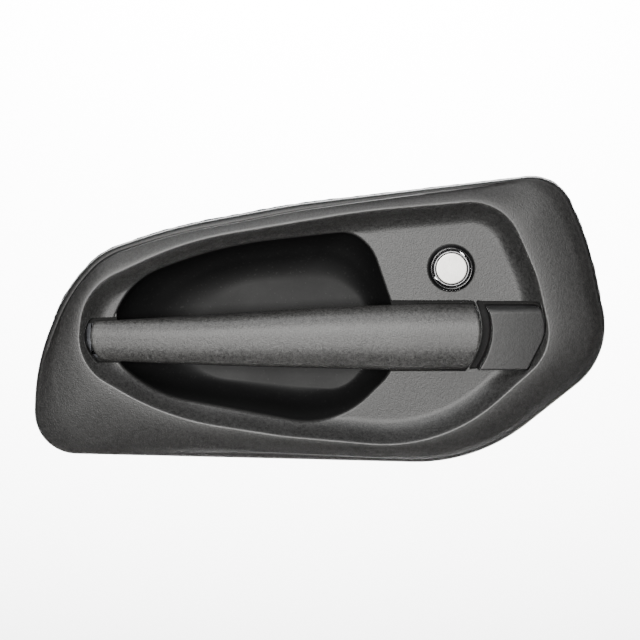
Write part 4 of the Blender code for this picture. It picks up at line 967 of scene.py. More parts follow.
@dataclass
class Bezel:
    """The moulded bezel with its slots, bosses, ribs and recess floor."""

    face: Face
    grip: GripLine
    wall: float = 3.0
    seat: float = 2.0
    rim_rounding: float = 2.9
    foot: float = 3.2
    lip: float = 1.0
    slot_side: float = 0.7
    slot_top: float = 1.5
    slot_tail: float = 2.6
    rib_gap: float = 17.0
    rib_clearance: float = 8.0
    channel_length: float = 47.0
    well_length: float = 30.8
    well_step: float = 0.15
    slot_floor: float = 0.9
    pad_margin: float = 1.5
    pad_length: float = 12.6
    pad_cover: float = 0.8
    boss_cover: float = 1.4

    def shell(self) -> bpy.types.Object:
        """The bezel without its cuts and bosses."""
        f = self.face
        rings = [level(f.at_rim, self.seat), level(f.at_rim, f.rim_height - self.rim_rounding)]
        for angle in np.radians([15, 30, 45, 60, 75, 90]):
            inset = self.rim_rounding * (1 - math.cos(angle))
            height = f.rim_height - self.rim_rounding * (1 - math.sin(angle))
            rings.append(level(f.inside_rim(inset), height))
        start, end = f.inside_rim(self.rim_rounding), f.outside_ridge(0.5)
        for share in np.linspace(0, 1, 9)[1:]:
            places = start + (end - start) * share
            rings.append(level(places, f.brim(places)))
        rings.append(level(f.at_ridge, f.ridge_height))
        away = [0.3, 0.6, 1.0, 1.5, 2.2, 3.0, 4.0, 5.2, 6.6, 8.2, 10.0, 11.6]
        for k, distance in enumerate(away):
            places = f.inside_ridge(distance, 0.85 * (k + 1) / len(away))
            rings.append(level(places, f.dish(places)))
        last, lip = places, f.outside_opening(self.lip)
        for share in np.linspace(0, 1, 5)[1:]:
            between = last + (lip - last) * share
            rings.append(level(between, f.dish(between)))
        for angle in np.radians([20, 40, 60, 80, 90]):
            places = f.outside_opening(self.lip * (1 - math.sin(angle)))
            rings.append(level(places, f.dish(places) - self.lip * (1 - math.cos(angle))))
        rings += [
            level(f.at_opening, 0.0),
            level(f.outside_opening(8.0, 0.76), 0.0),
            level(f.inside_ridge(8.0, 0.12), 0.0),
            level(f.outside_ridge(1.5), f.ridge_height - self.wall),
            level(f.inside_rim(self.foot), f.rim_height - self.wall),
            level(f.inside_rim(self.foot), self.seat),
        ]
        return loft("bezel_moulding", rings, hollow=True)

    def prism(self, name: str, outline: np.ndarray, front: float, back: float) -> bpy.types.Object:
        """A straight block between two heights, front above back."""
        return loft(name, [level(outline, front), level(outline, back)])

    def boss(self, name: str, node: str, radius: float, back: float = 0.0) -> bpy.types.Object:
        """A round boss behind the face, round a screw or stud."""
        middle = Extent.of(node).middle[[0, 2]]
        angle = np.arange(40) * 2 * math.pi / 40
        outline = middle + radius * np.stack([np.cos(angle), np.sin(angle)], axis=1)
        top = float(self.face.height(outline).min()) - self.boss_cover
        return self.prism(name, outline, top, back)

    def socket(self, name: str, node: str, radius: float) -> bpy.types.Object:
        """The cutter of a blind hole that takes a screw or stud."""
        middle = Extent.of(node).middle[[0, 2]]
        angle = np.arange(28) * 2 * math.pi / 28
        outline = middle + radius * np.stack([np.cos(angle), np.sin(angle)], axis=1)
        return self.prism(name, outline, -Extent.of(node).low[1] + 0.3, -6.0)

    def ribs(self) -> list[bpy.types.Object]:
        """Thin stiffening walls in the hollow behind the rim."""
        f = self.face
        outer, inner = f.inside_rim(self.foot - 0.6), f.outside_ridge(0.4)
        step = max(1, round(self.rib_gap / np.linalg.norm(f.at_rim[1] - f.at_rim[0])))
        fixings = [f"mounting_stud_{k}" for k in range(1, 5)]
        fixings += [f"mechanism_bracket_screw_{k}" for k in range(1, 5)]
        fixings += ["hinge_bracket_screw_1", "hinge_bracket_screw_2", "locating_clip_1", "locating_clip_2"]
        taken = np.array([Extent.of(node).middle[[0, 2]] for node in fixings])
        made = []
        for k in range(step // 2, f.rays, step):
            line = Outline(np.array([outer[k], inner[k], inner[k] + 1e-6]))
            if f.rim_width[k, 0] < 9 or line.distance(taken).min() < self.rib_clearance:
                continue
            ahead = (inner[k] - outer[k]) / np.linalg.norm(inner[k] - outer[k])
            side = np.array([-ahead[1], ahead[0]]) * 0.7
            plan = np.array([outer[k] - side, inner[k] - side, inner[k] + side, outer[k] + side])
            low, high = f.rim_height - self.wall + 1.2, f.ridge_height - self.wall + 1.4
            tops = np.array([low, high, high, low])
            made.append(loft(f"bezel_rib_{k}", [level(plan, tops), level(plan, 0.7)]))
        return made

    def router(self, name: str, outline: np.ndarray, back: float, rounding: float) -> bpy.types.Object:
        """A cutter that rounds over the edge that it makes in the face.

        Args:
            name: the cutter's name.
            outline: the cut's walls.
            back: how far behind the door skin's plane it reaches.
            rounding: the edge's radius.

        Returns:
            The cutter.
        """
        line = Outline(outline)
        face = self.face.height(outline)
        rings = [level(outline, -back), level(outline, face - rounding)]
        for angle in np.radians([20, 40, 60, 80]):
            spread = rounding * (1 - math.cos(angle))
            rings.append(level(line.grown(spread), face - rounding * (1 - math.sin(angle))))
        rings.append(level(line.grown(rounding * 0.83), self.face.ridge_height + 8))
        return loft(name, rings)

    def channel(self, length: float) -> np.ndarray:
        """The slot that the grip's latch half lies in, from its length."""
        low = self.grip.edges(np.array([self.grip.right]))[0][0] - self.slot_side - 0.6
        high = self.grip.edges(np.array([self.grip.right]))[1][0] + self.slot_top
        levels = np.linspace(low, high, 15)
        end = bowed(self.grip.latch_end(levels, self.slot_side), levels, 0.6, 2.4)
        start = self.grip.right - length
        return rounded([(start, low, 0), *end, (start, high, 0)], 8)

    def hinge_slot(self) -> np.ndarray:
        """The slot in the dish's wall that the grip's hinge end lies in."""
        low, high = (float(edge[0]) for edge in self.grip.edges(np.array([self.grip.left])))
        low, high = low - self.slot_side, high + self.slot_top
        levels = np.linspace(high, low, 9)
        end = bowed(self.grip.hinge_end(levels, self.slot_tail), levels, 2.2, 2.0)
        inner = self.grip.left + 18.2
        return rounded([(inner, low - 0.8, 0), (inner, high + 0.7, 0), *end], 8)

    def knuckle_window(self) -> np.ndarray:
        """The hole in the hinge slot's floor that the knuckle reaches through."""
        slot = self.hinge_slot()
        low, high = (float(edge[0]) for edge in self.grip.edges(np.array([self.grip.left])))
        corners = [(slot[:, 0].min(), low + 1.0), (slot[:, 0].max() + 1, low + 1.0)]
        corners += [(slot[:, 0].max() + 1, high - 1.4), (slot[:, 0].min(), high - 1.4)]
        return rounded([(x, z, 1.0) for x, z in corners], 4)

    def build(self) -> bpy.types.Object:
        """Builds and dresses the bezel."""
        bezel = self.shell()
        channel = self.channel(self.channel_length)
        well = Outline(self.channel(self.well_length)).grown(-self.well_step)
        tray_low, tray_high = channel[:, 1].min() - 1.5, channel[:, 1].max() + 2.1
        tray_left, tray_right = Extent.of("finger_cup").high[0] + 0.3, CAP_EXTENT.high[0] + 2.6
        tray = rounded([
            (tray_left, tray_low, 1), (CAP_EXTENT.high[0] - 7, tray_low, 3), (tray_right, GRIP_Z + 3, 20),
            (tray_right, tray_high, 6), (tray_left, tray_high, 1),
        ], 8)
        added = [self.prism("bezel_tray", tray, self.face.dish_height - 0.6, -3.0), *self.ribs()]
        pad = Outline(self.hinge_slot()).grown(self.pad_margin)
        pad[:, 0] = np.minimum(pad[:, 0], self.grip.left + self.pad_length)
        added.append(self.prism("bezel_hinge_pad", pad, float(self.face.height(pad).min()) - self.pad_cover, 0.0))
        added += [self.boss(f"bezel_stud_boss_{k}", f"mounting_stud_{k}", 5.5) for k in range(1, 5)]
        added += [self.boss(f"bezel_hinge_boss_{k}", f"hinge_bracket_screw_{k}", 4.0) for k in range(1, 3)]
        added += [
            self.boss(f"bezel_bracket_boss_{k}", f"mechanism_bracket_screw_{k}", 3.6, -3.0)
            for k in range(1, 5)
        ]
        combine(bezel, added, "UNION")
        leg = Extent.of("pull_leg")
        window = rounded([
            (leg.middle[0] - 12, leg.low[2] - 4.5, 1), (leg.middle[0] + 12, leg.low[2] - 4.5, 1),
            (leg.middle[0] + 12, leg.high[2] + 4, 1), (leg.middle[0] - 12, leg.high[2] + 4, 1),
        ], 4)
        cuts = [
            self.router("bezel_channel", channel, -self.slot_floor, 0.5),
            self.prism("bezel_well", well, self.face.dish_height, -1.5),
            self.router("bezel_cap_hole", EndCap(self.grip).hole(), 1.5, 0.5),
            self.router("bezel_hinge_slot", self.hinge_slot(), -self.slot_floor, 0.6),
            self.prism("bezel_knuckle_window", self.knuckle_window(), 3.0, -8.0),
            self.prism("bezel_window", window, 0.0, -8.0),
            self.socket("bezel_cap_screw", "end_cap_screw", 1.8),
        ]
        cuts += [self.socket(f"bezel_stud_hole_{k}", f"mounting_stud_{k}", 3.3) for k in range(1, 5)]
        cuts += [self.socket(f"bezel_hinge_hole_{k}", f"hinge_bracket_screw_{k}", 1.8) for k in range(1, 3)]
        cuts += [
            self.socket(f"bezel_bracket_hole_{k}", f"mechanism_bracket_screw_{k}", 1.8) for k in range(1, 5)
        ]
        cuts += [self.socket(f"bezel_cup_hole_{k}", f"cup_screw_{k}", 1.5) for k in range(1, 5)]
        collar = Extent.of("button_collar").middle
        angle = np.arange(72) * 2 * math.pi / 72
        bore = collar[[0, 2]] + 9.2 * np.stack([np.cos(angle), np.sin(angle)], axis=1)
        cuts.append(self.prism("bezel_button_bore", bore, self.face.ridge_height + 8, -8.0))
        combine(bezel, cuts, "DIFFERENCE")
        shade(bezel, 34, weighted=True)
        # Marks the dish's tone, a painted highlight on the ridge and the opening's lip, and painted shade in the
        # recesses.
        self.wear(bezel)
        return present(bezel, Finish.BEZEL, "bezel")

    def wear(self, bezel: bpy.types.Object) -> None:
        """Marks the dish's tone, a painted highlight along the ridge and the opening's lip, and painted shade in
        the recesses below the dish, for the finish.
        """
        points = vertices(bezel)
        places, height = points[:, [0, 2]], -points[:, 1]
        inside = self.face.ridge.holds(places)
        ridge, opening = self.face.ridge.distance(places), self.face.opening.distance(places)
        front = height > self.face.dish_height - 1.2
        mark(bezel, "inner", inside & (ridge > 0.2) & (height > 0.5))
        # Painted highlight along the ridge and the lip of the opening, on the front surfaces only.
        edge_highlight = 0.75 * np.exp(-((ridge / 0.55) ** 2)) + 0.5 * np.exp(-((opening / 0.5) ** 2))
        mark(bezel, "wear", np.clip(edge_highlight, 0, 1) * front)
        # Painted shade, deepening with depth below the dish floor.
        mark(bezel, "pit", inside * np.clip((self.face.dish_height - 0.7 - height) / 0.8, 0, 1))


@dataclass
class EndCap:
    """The fixed block beyond the grip, whose face falls towards the latch end."""

    grip: GripLine
    space: float = 5.5
    above: float = 15.8
    below: float = 15.6
    height: float = 13.0
    fall: float = 2.6
    foot: float = 9.6
    soft_edge: float = 3.4
    edge: float = 0.7

    def outline(self, clearance: float, above: float) -> np.ndarray:
        """The cap's right side, top and bottom, grown by a clearance."""
        low, high = GRIP_Z - self.below - clearance, GRIP_Z + self.above + clearance + above
        right = self.grip.right + 33.0
        return rounded([
            (right - 30, low, 0), (right - self.foot + clearance, low, 2.0),
            (right + clearance, GRIP_Z + 3, 26),
            (right - 3.2 + clearance, high, 3.5), (right - 30, high, 0),
        ], 10)

    def hole(self) -> np.ndarray:
        """The opening round the cap."""
        outer = self.outline(0.5, 1.6)
        levels = np.linspace(outer[:, 1].max(), outer[:, 1].min(), 15)
        inner = bowed(self.grip.latch_end(levels, 1.9), levels, 0.9, 0.5)
        near = rounded([(*outer[-1], 0), *inner, (*outer[0], 0)], 6)
        return np.vstack([outer[1:-1], near[1:-1]])

    def build(self) -> bpy.types.Object:
        """Builds and dresses the cap."""
        outer = self.outline(0.0, 0.0)[1:-1]
        low, high = outer[:, 1].min(), outer[:, 1].max()
        order = np.argsort(outer[:, 1])
        near = np.array([0, 0.06, 0.16, 0.3, 0.48, 0.72])
        soft = self.soft_edge * (1 - np.cos(np.linspace(0, math.pi / 2, 11)))
        levels = np.concatenate(
            [low + near, np.linspace(low + 1.0, high - self.soft_edge - 0.4, 30), high - soft[::-1]]
        )
        rows = []
        for z in levels:
            left = float(self.grip.latch_end(np.array([z]), self.space)[0])
            right = float(np.interp(z, outer[order, 1], outer[order, 0]))
            xs = np.concatenate([left + near, np.linspace(left + 1.0, right - 1.0, 34), right - near[::-1]])
            drop = self.fall * ((xs - self.grip.right) / 33.0) ** 2
            drop += rounding(xs - left, self.edge) + rounding(right - xs, self.edge)
            drop += rounding(np.full(len(xs), high - z), self.soft_edge)
            drop += rounding(np.full(len(xs), z - low), self.edge)
            rows.append(np.stack([xs, -(self.height - drop), np.full(len(xs), z)], axis=1))
        cap = slab("end_cap_moulding", np.array(rows), CAP_EXTENT.high[1])
        shade(cap, 50)
        points = vertices(cap)
        # Painted highlight along the cap's edge beside the grip's end, on its front part.
        edge = np.minimum(points[:, 0] - self.grip.latch_end(points[:, 2], self.space), 3.0)
        mark(cap, "wear", 0.9 * np.exp(-((edge / 0.8) ** 2)) * (points[:, 1] < -8))
        return present(cap, Finish.CAP, "end_cap")


def rounding(away: np.ndarray, radius: float) -> np.ndarray:
    """How far a rounded edge lies below the face at a distance from the edge."""
    rest = np.clip(radius - away, 0, radius)
    return radius - np.sqrt(radius**2 - rest**2)


def slab(name: str, front: np.ndarray, back: float) -> bpy.types.Object:
    """A closed block from a grid of points on its front face.

    Args:
        name: the object's name.
        front: rows by columns of points in millimetres.
        back: y of its flat back.

    Returns:
        The object.
    """
    rows, columns = front.shape[:2]
    rear = front.copy()
    rear[..., 1] = back
    points = np.vstack([front.reshape(-1, 3), rear.reshape(-1, 3)])
    behind = rows * columns
    faces = []
    for r in range(rows - 1):
        for c in range(columns - 1):
            a = r * columns + c
            quad = (a, a + 1, a + columns + 1, a + columns)
            faces += [quad, tuple(behind + k for k in reversed(quad))]
    around = [(0, c) for c in range(columns)] + [(r, columns - 1) for r in range(1, rows)]
    around += [(rows - 1, c) for c in range(columns - 2, -1, -1)] + [(r, 0) for r in range(rows - 2, 0, -1)]
    loop = [r * columns + c for r, c in around]
    for here, there in zip(loop, loop[1:] + loop[:1]):
        faces.append((there, here, behind + here, behind + there))
    return make_object(name, points, faces)


@dataclass
class FingerCup:
    """The smooth bowl behind the opening, with its flange and its notch for the hinge."""

    face: Face
    wall: float = 2.0
    gap: float = 0.3
    crease: float = 0.7
    flange_width: float = 8.0
    screw_hole: float = 1.5

    def inner(self) -> list[np.ndarray]:
        """The bowl's rings from its mouth to its floor."""
        f = self.face
        depth = Extent.of("finger_cup").high[1] - self.wall
        rings = []
        for angle in np.radians(np.linspace(0, 90, 25)):
            near, deep = 1 - math.cos(angle), math.sin(angle)
            places = f.at_opening + (f.at_floor - f.at_opening) * near
            upper = np.clip((f.at_opening[:, 1] - 4) / 30, 0, 1)
            fold = self.crease * upper * math.exp(-(((near - 0.42) / 0.09) ** 2))
            rings.append(level(places, -self.gap - (depth - self.gap) * deep + fold))
        centre = f.at_floor.mean(axis=0)
        for share in (0.85, 0.6, 0.3, 0.08):
            rings.append(level(centre + (f.at_floor - centre) * share, -depth))
        return rings

    def outer(self) -> list[np.ndarray]:
        """The back's rings from the flange to the floor's back."""
        f = self.face
        depth = Extent.of("finger_cup").high[1]
        rim, floor = f.outside_opening(self.wall), f.at_floor + (f.at_opening - f.at_floor) * 0.06
        rings = []
        for angle in np.radians(np.linspace(0, 90, 19)):
            near, deep = 1 - math.cos(angle), math.sin(angle)
            back = self.gap + self.wall + (depth - self.gap - self.wall) * deep
            rings.append(level(rim + (floor - rim) * near, -back))
        centre = floor.mean(axis=0)
        rings += [level(centre + (floor - centre) * share, -depth) for share in (0.7, 0.3, 0.08)]
        return rings

    def build(self) -> bpy.types.Object:
        """Builds and dresses the cup."""
        f = self.face
        flange = f.outside_opening(self.flange_width, 0.9)
        edge = f.outside_opening(self.flange_width - 0.4, 0.86)
        back = -self.gap - self.wall
        rings = self.inner()[::-1]
        rings += [level(edge, -self.gap), level(flange, -self.gap - 0.4)]
        rings += [level(flange, back + 0.4), level(edge, back)]
        cup = loft("finger_cup_moulding", rings + self.outer())
        bracket, pin = Extent.of("hinge_bracket"), Extent.of("hinge_pin").middle
        knuckle = self.knuckle_reach()
        notch = rounded([
            (pin[0] - 12, bracket.low[2] + 11.7, 0),
            (pin[0] + knuckle + 1.2, Extent.of("hinge_pin_clip").low[2] + 0.9, 1),
            (pin[0] + knuckle + 1.2, bracket.high[2] + 1.0, 1), (pin[0] - 12, bracket.high[2] + 1.0, 0),
        ], 5)
        cuts = [loft("cup_notch", [level(notch, 4.0), level(notch, -(pin[1] + knuckle + 3.4))])]
        for k in range(1, 5):
            place = Extent.of(f"cup_screw_{k}").middle[[0, 2]]
            bore = [(-3.0, self.screw_hole), (6.0, self.screw_hole)]
            cuts.append(turned(f"cup_hole_{k}", Axis.Y, tuple(place), bore))
        combine(cup, cuts, "DIFFERENCE")
        shade(cup, 35)
        return present(cup, Finish.CUP, "finger_cup")

    def knuckle_reach(self) -> float:
        """The radius of the grip's knuckle round the hinge pin."""
        return Extent.of("grip_core").high[1] - Extent.of("hinge_pin").middle[1]


@dataclass
class Gasket:
    """The foam seal behind the rim's edge, a little uneven as it was laid."""

    face: Face
    inset: float = 0.7
    width: float = 2.6
    waviness: float = 0.22

    def build(self) -> bpy.types.Object:
        """Builds and dresses the seal."""
        f, thickness = self.face, -Extent.of("gasket").low[1]
        at = np.arange(f.rays) * 2 * math.pi / f.rays
        proud = f.at_rim[:, 1] > 0
        outer_wave = self.waviness * ripple(at * 31, 1.3)[:, None] - np.where(proud, 1.25, 0.0)[:, None]
        edge = f.rim_width
        outer = f.at_rim + (f.at_ridge - f.at_rim) * ((self.inset + outer_wave) / edge)
        inner = f.at_rim + (f.at_ridge - f.at_rim) * ((self.inset + self.width + 0.5 * outer_wave) / edge)
        soft = 0.35
        swell = 0.10 * ripple(at * 53, 0.4)
        side = (inner - outer) / np.linalg.norm(inner - outer, axis=1)[:, None] * soft
        rings = [
            level(outer + side, 0.0), level(outer, soft), level(outer, thickness - soft + 0.5 * swell),
            level(outer + side, thickness + 0.4 * swell - 0.05),
            level(inner - side, thickness + 0.4 * swell - 0.05),
            level(inner, thickness - soft), level(inner, soft), level(inner - side, 0.0),
        ]
        seal = shade(loft("gasket_seal", rings, hollow=True), 70)
        return present(seal, Finish.FOAM, "gasket")


# ---------------------------------------------------------------- the grip


def refine(node: str, finish: Finish, bevel: float = 0.3, segments: int = 2) -> bpy.types.Object:
    """A finer copy of a frame piece, with its edges broken.

    Args:
        node: the frame's piece.
        finish: the copy's finish.
        bevel: width of the broken edges in millimetres.
        segments: across each broken edge.

    Returns:
        The copy, which stands for the frame's piece.
    """
    obj = bpy.data.objects.new(f"{node}_finished", bpy.data.objects[node].data.copy())
    bpy.context.scene.collection.objects.link(obj)
    shape = bmesh.new()
    shape.from_mesh(obj.data)
    bmesh.ops.remove_doubles(shape, verts=shape.verts, dist=0.004 * MM)
    bmesh.ops.dissolve_limit(shape, angle_limit=math.radians(2), verts=shape.verts, edges=shape.edges)
    for edge in shape.edges:
        edge.smooth = True
    for side in shape.faces:
        side.smooth = True
    shape.to_mesh(obj.data)
    shape.free()
    modifier = obj.modifiers.new("broken_edges", "BEVEL")
    modifier.width = bevel * MM
    modifier.segments = segments
    modifier.limit_method = "ANGLE"
    modifier.angle_limit = math.radians(42)
    modifier.use_clamp_overlap = True
    modifier.miter_outer = "MITER_ARC"
    settle(obj)
    shade(obj, 44, weighted=True)
    return present(obj, finish, node)


@dataclass
class Grip:
    """The pull grip: its grained cover, its core with the hinge's knuckle, and its screws and leg."""

    line: GripLine
    seam: float = 3.5
    wall: float = 2.5
    power: float = 2.8
    stations: int = 61
    end_rounding: float = 1.3

    def shares(self) -> np.ndarray:
        """Shares of the grip's length, closer together at its ends."""
        length = self.line.right - self.line.left
        near = np.array([0, 0.08, 0.22, 0.42, 0.68, 1.0, 1.35, 2.0]) / length
        return np.concatenate([near, np.linspace(0.018, 0.982, self.stations), 1 - near[::-1]])

    def shell(self, name: str, inset: float, base: float, arc: int, soft: float) -> bpy.types.Object:
        """The rounded section swept from the hinge end to the latch end.

        Args:
            name: the object's name.
            inset: how far inside the grip's surface it lies.
            base: height of its flat back.
            arc: segments over the section.
            soft: radius of the rounding at its ends.

        Returns:
            The closed object.
        """
        length = self.line.right - self.line.left
        rings = []
        for share in self.shares():
            x = np.array([self.line.left + length * share])
            low, high = (float(edge[0]) for edge in self.line.edges(x))
            drop = float(rounding(np.array([min(share, 1 - share) * length]), soft)[0]) if soft else 0.0
            face = float(curve(self.line.face, x)[0]) - inset - drop
            half, middle = (high - low) / 2 - inset - drop, (low + high) / 2
            rings.append(self.section(share, inset, base, arc, (middle, half, face)))
        return loft(name, rings, strips=True)

    def section(
        self, share: float, inset: float, base: float, arc: int, size: tuple[float, float, float]
    ) -> np.ndarray:
        """One ring of the shell.

        Args:
            share: how far along the grip it is.
            inset: how far inside the grip's surface it lies.
            base: height of its flat back.
            arc: segments over the section.
            size: its middle, half its height and the height of its face.

        Returns:
            The ring's points.
        """
        middle, half, face = size
        angle = np.linspace(0, math.pi, arc + 1)
        cos, sin = np.cos(angle), np.maximum(np.sin(angle), 0)
        z = middle - half * np.sign(cos) * abs(cos) ** (2 / self.power)
        height = base + (face - base) * sin ** (2 / self.power)
        z = np.concatenate([z, z[-2:0:-1]])
        height = np.concatenate([height, np.full(arc - 1, base)])
        left, right = self.line.hinge_end(z, -inset), self.line.latch_end(z, -inset)
        return np.stack([left + (right - left) * share, -height, z], axis=1)

    def cover(self) -> bpy.types.Object:
        """Builds and dresses the cover."""
        cover = self.shell("grip_cover_moulding", 0.0, self.seam, 48, self.end_rounding)
        inside = self.shell("grip_cover_inside", self.wall, self.seam - 1.5, 16, 0.0)
        holes = []
        for k in range(1, 3):
            screw = Extent.of(f"grip_screw_{k}")
            place, tip = tuple(screw.middle[[0, 2]]), float(screw.low[1]) - 0.3
            holes.append(turned(f"cover_hole_{k}", Axis.Y, place, [(tip, 1.8), (0.0, 1.8)], sides=24))
        combine(cover, [inside, *holes], "DIFFERENCE")
        shade(cover, 40)
        points = vertices(cover)
        low, high = self.line.edges(points[:, 0])
        across = (points[:, 2] - low) / (high - low)
        ends = np.minimum(
            points[:, 0] - self.line.hinge_end(points[:, 2]), self.line.latch_end(points[:, 2]) - points[:, 0]
        )
        # Painted highlight at the grip's two ends and in a band near its top edge.
        edge_highlight = 0.35 * np.exp(-((ends / 1.0) ** 2)) + 0.12 * np.exp(-(((across - 0.86) / 0.07) ** 2))
        mark(cover, "wear", edge_highlight * (points[:, 1] < -self.seam - 1))
        return present(cover, Finish.GRIP, "grip_cover")

    def build(self) -> None:
        """Builds the grip's pieces."""
        self.cover()
        refine("grip_core", Finish.GRIP_CORE, 0.25)
        refine("pull_leg", Finish.STEEL, 0.35)
        for name in ("grip_screw_1", "grip_screw_2", "pull_leg_screw_1", "pull_leg_screw_2"):
            Screw().build(name)
        for k in range(1, 3):
            tube(f"hinge_bush_{k}", Axis.Z, 2.3, Finish.NYLON)


# ---------------------------------------------------------------- turned pieces


def tube(node: str, axis: Axis, inner: float, finish: Finish, soft: float = 0.25) -> bpy.types.Object:
    """A tube that stands for a frame piece.

    Args:
        node: the frame's piece, whose box gives its place, length and outside.
        axis: its line.
        inner: radius of its bore.
        finish: its finish.
        soft: radius of its edges.

    Returns:
        The tube.
    """
    extent = Extent.of(node)
    along, *across = axis.value
    low, high, outer = extent.low[along], extent.high[along], max(extent.size[across]) / 2
    profile = soft_profile([(low, inner), (low, outer), (high, outer), (high, inner)], soft, True)
    obj = turned(f"{node}_turned", axis, tuple(extent.middle[across]), profile, hollow=True, sides=48)
    return present(shade(obj, 50), finish, node)


def spindle(
    node: str, axis: Axis, profile: Sequence[tuple[float, float]], finish: Finish, soft: float = 0.25
) -> bpy.types.Object:
    """A solid turned piece that stands for a frame piece.

    Args:
        node: the frame's piece, whose box gives its line.
        axis: its line's direction.
        profile: place along, measured from the box's low end, and radius.
        finish: its finish.
        soft: radius of its edges.

    Returns:
        The piece.
    """
    extent = Extent.of(node)
    along, *across = axis.value
    shape = [(extent.low[along] + at, radius) for at, radius in profile]
    profile = soft_profile(shape, soft, False)
    obj = turned(f"{node}_turned", axis, tuple(extent.middle[across]), profile, sides=48)
    return present(shade(obj, 50), finish, node)


def thread_lobe(along: float, pitch: float, depth: float) -> Lobes:
    """A thread's reach at one place along it, as a share of its outer radius."""
    turn = 2 * math.pi * along / pitch
    return lambda angle: 1 - depth * (0.5 - 0.5 * np.cos(angle - turn)) ** 0.8


@dataclass
class Screw:
    """A pan-head screw with a six-lobed socket and a rolled thread."""

    head_share: float = 1.9
    pitch_share: float = 0.62
    thread_depth: float = 0.17
    rings_a_turn: int = 7
    sides: int = 28

    def build(self, node: str) -> bpy.types.Object:
        """Builds and dresses the screw that stands for a frame piece."""
        extent = Extent.of(node)
        radius = extent.size[0] / 2 / self.head_share
        head, tip, top = extent.size[0] / 2, extent.low[1], extent.high[1]
        seat, socket = top - 1.2 * radius, 0.58 * radius
        pitch = self.pitch_share * radius * 1.6
        stop = seat - 0.3 * radius
        profile: list[tuple] = [(tip, 0.5 * radius), (tip + 0.25 * radius, 0.80 * radius)]
        for along in np.arange(tip + 0.35 * radius, stop, pitch / self.rings_a_turn):
            profile.append((along, radius, thread_lobe(along, pitch, self.thread_depth)))
        profile += [(stop + 0.05, 0.9 * radius), (seat, 0.9 * radius)]
        profile += [(seat, 0.94 * head), (seat + 0.1 * radius, head)]
        for angle in np.radians([0, 20, 40, 60, 80]):
            rise = (top - seat - 0.3 * radius) * (1 - math.sin(angle))
            profile.append((top - rise, head * (0.62 + 0.38 * math.cos(angle))))
        profile += [
            (top, 1.16 * socket, star_lobe), (top - 0.08 * radius, 1.06 * socket, star_lobe),
            (top - 0.75 * radius, socket, star_lobe), (top - 0.9 * radius, 0.4 * socket),
        ]
        obj = turned(f"{node}_threaded", Axis.Y, tuple(extent.middle[[0, 2]]), profile, sides=self.sides)
        return present(shade(obj, 38), Finish.ZINC, node)


@dataclass
class Stud:
    """A stud with a rolled thread and chamfered ends."""

    pitch: float = 1.0
    thread_depth: float = 0.13
    rings_a_turn: int = 7
    collar: float = 2.0

    def build(self, node: str) -> bpy.types.Object:
        """Builds and dresses the stud that stands for a frame piece."""
        extent = Extent.of(node)
        radius, low, high = extent.size[0] / 2, extent.low[1], extent.high[1]
        plain = 7.5
        profile: list[tuple] = [(low, 0.8 * radius), (low + 0.5, 0.94 * radius), (low + plain, 0.94 * radius)]
        for along in np.arange(low + plain + 0.3, high - 1.0, self.pitch / self.rings_a_turn):
            profile.append((along, radius, thread_lobe(along, self.pitch, self.thread_depth)))
        profile += [(high - 0.9, 0.86 * radius), (high - 0.1, 0.68 * radius), (high, 0.55 * radius)]
        obj = turned(f"{node}_threaded", Axis.Y, tuple(extent.middle[[0, 2]]), profile, sides=32)
        return present(shade(obj, 38), Finish.ZINC, node)


@dataclass
class CoilSpring:
    """A wound spring."""

    wire: float
    turns: float
    steps: int = 26

    def coil(
        self, radius: float, start: float, end: float, first: float, clockwise: bool
    ) -> tuple[np.ndarray, ...]:
        """The coil's place along its line and its two coordinates across it."""
        k = np.arange(int(self.turns * self.steps) + 1)
        angle = first + (-1 if clockwise else 1) * 2 * math.pi * k / self.steps
        return start + (end - start) * k / k[-1], radius * np.cos(angle), radius * np.sin(angle)


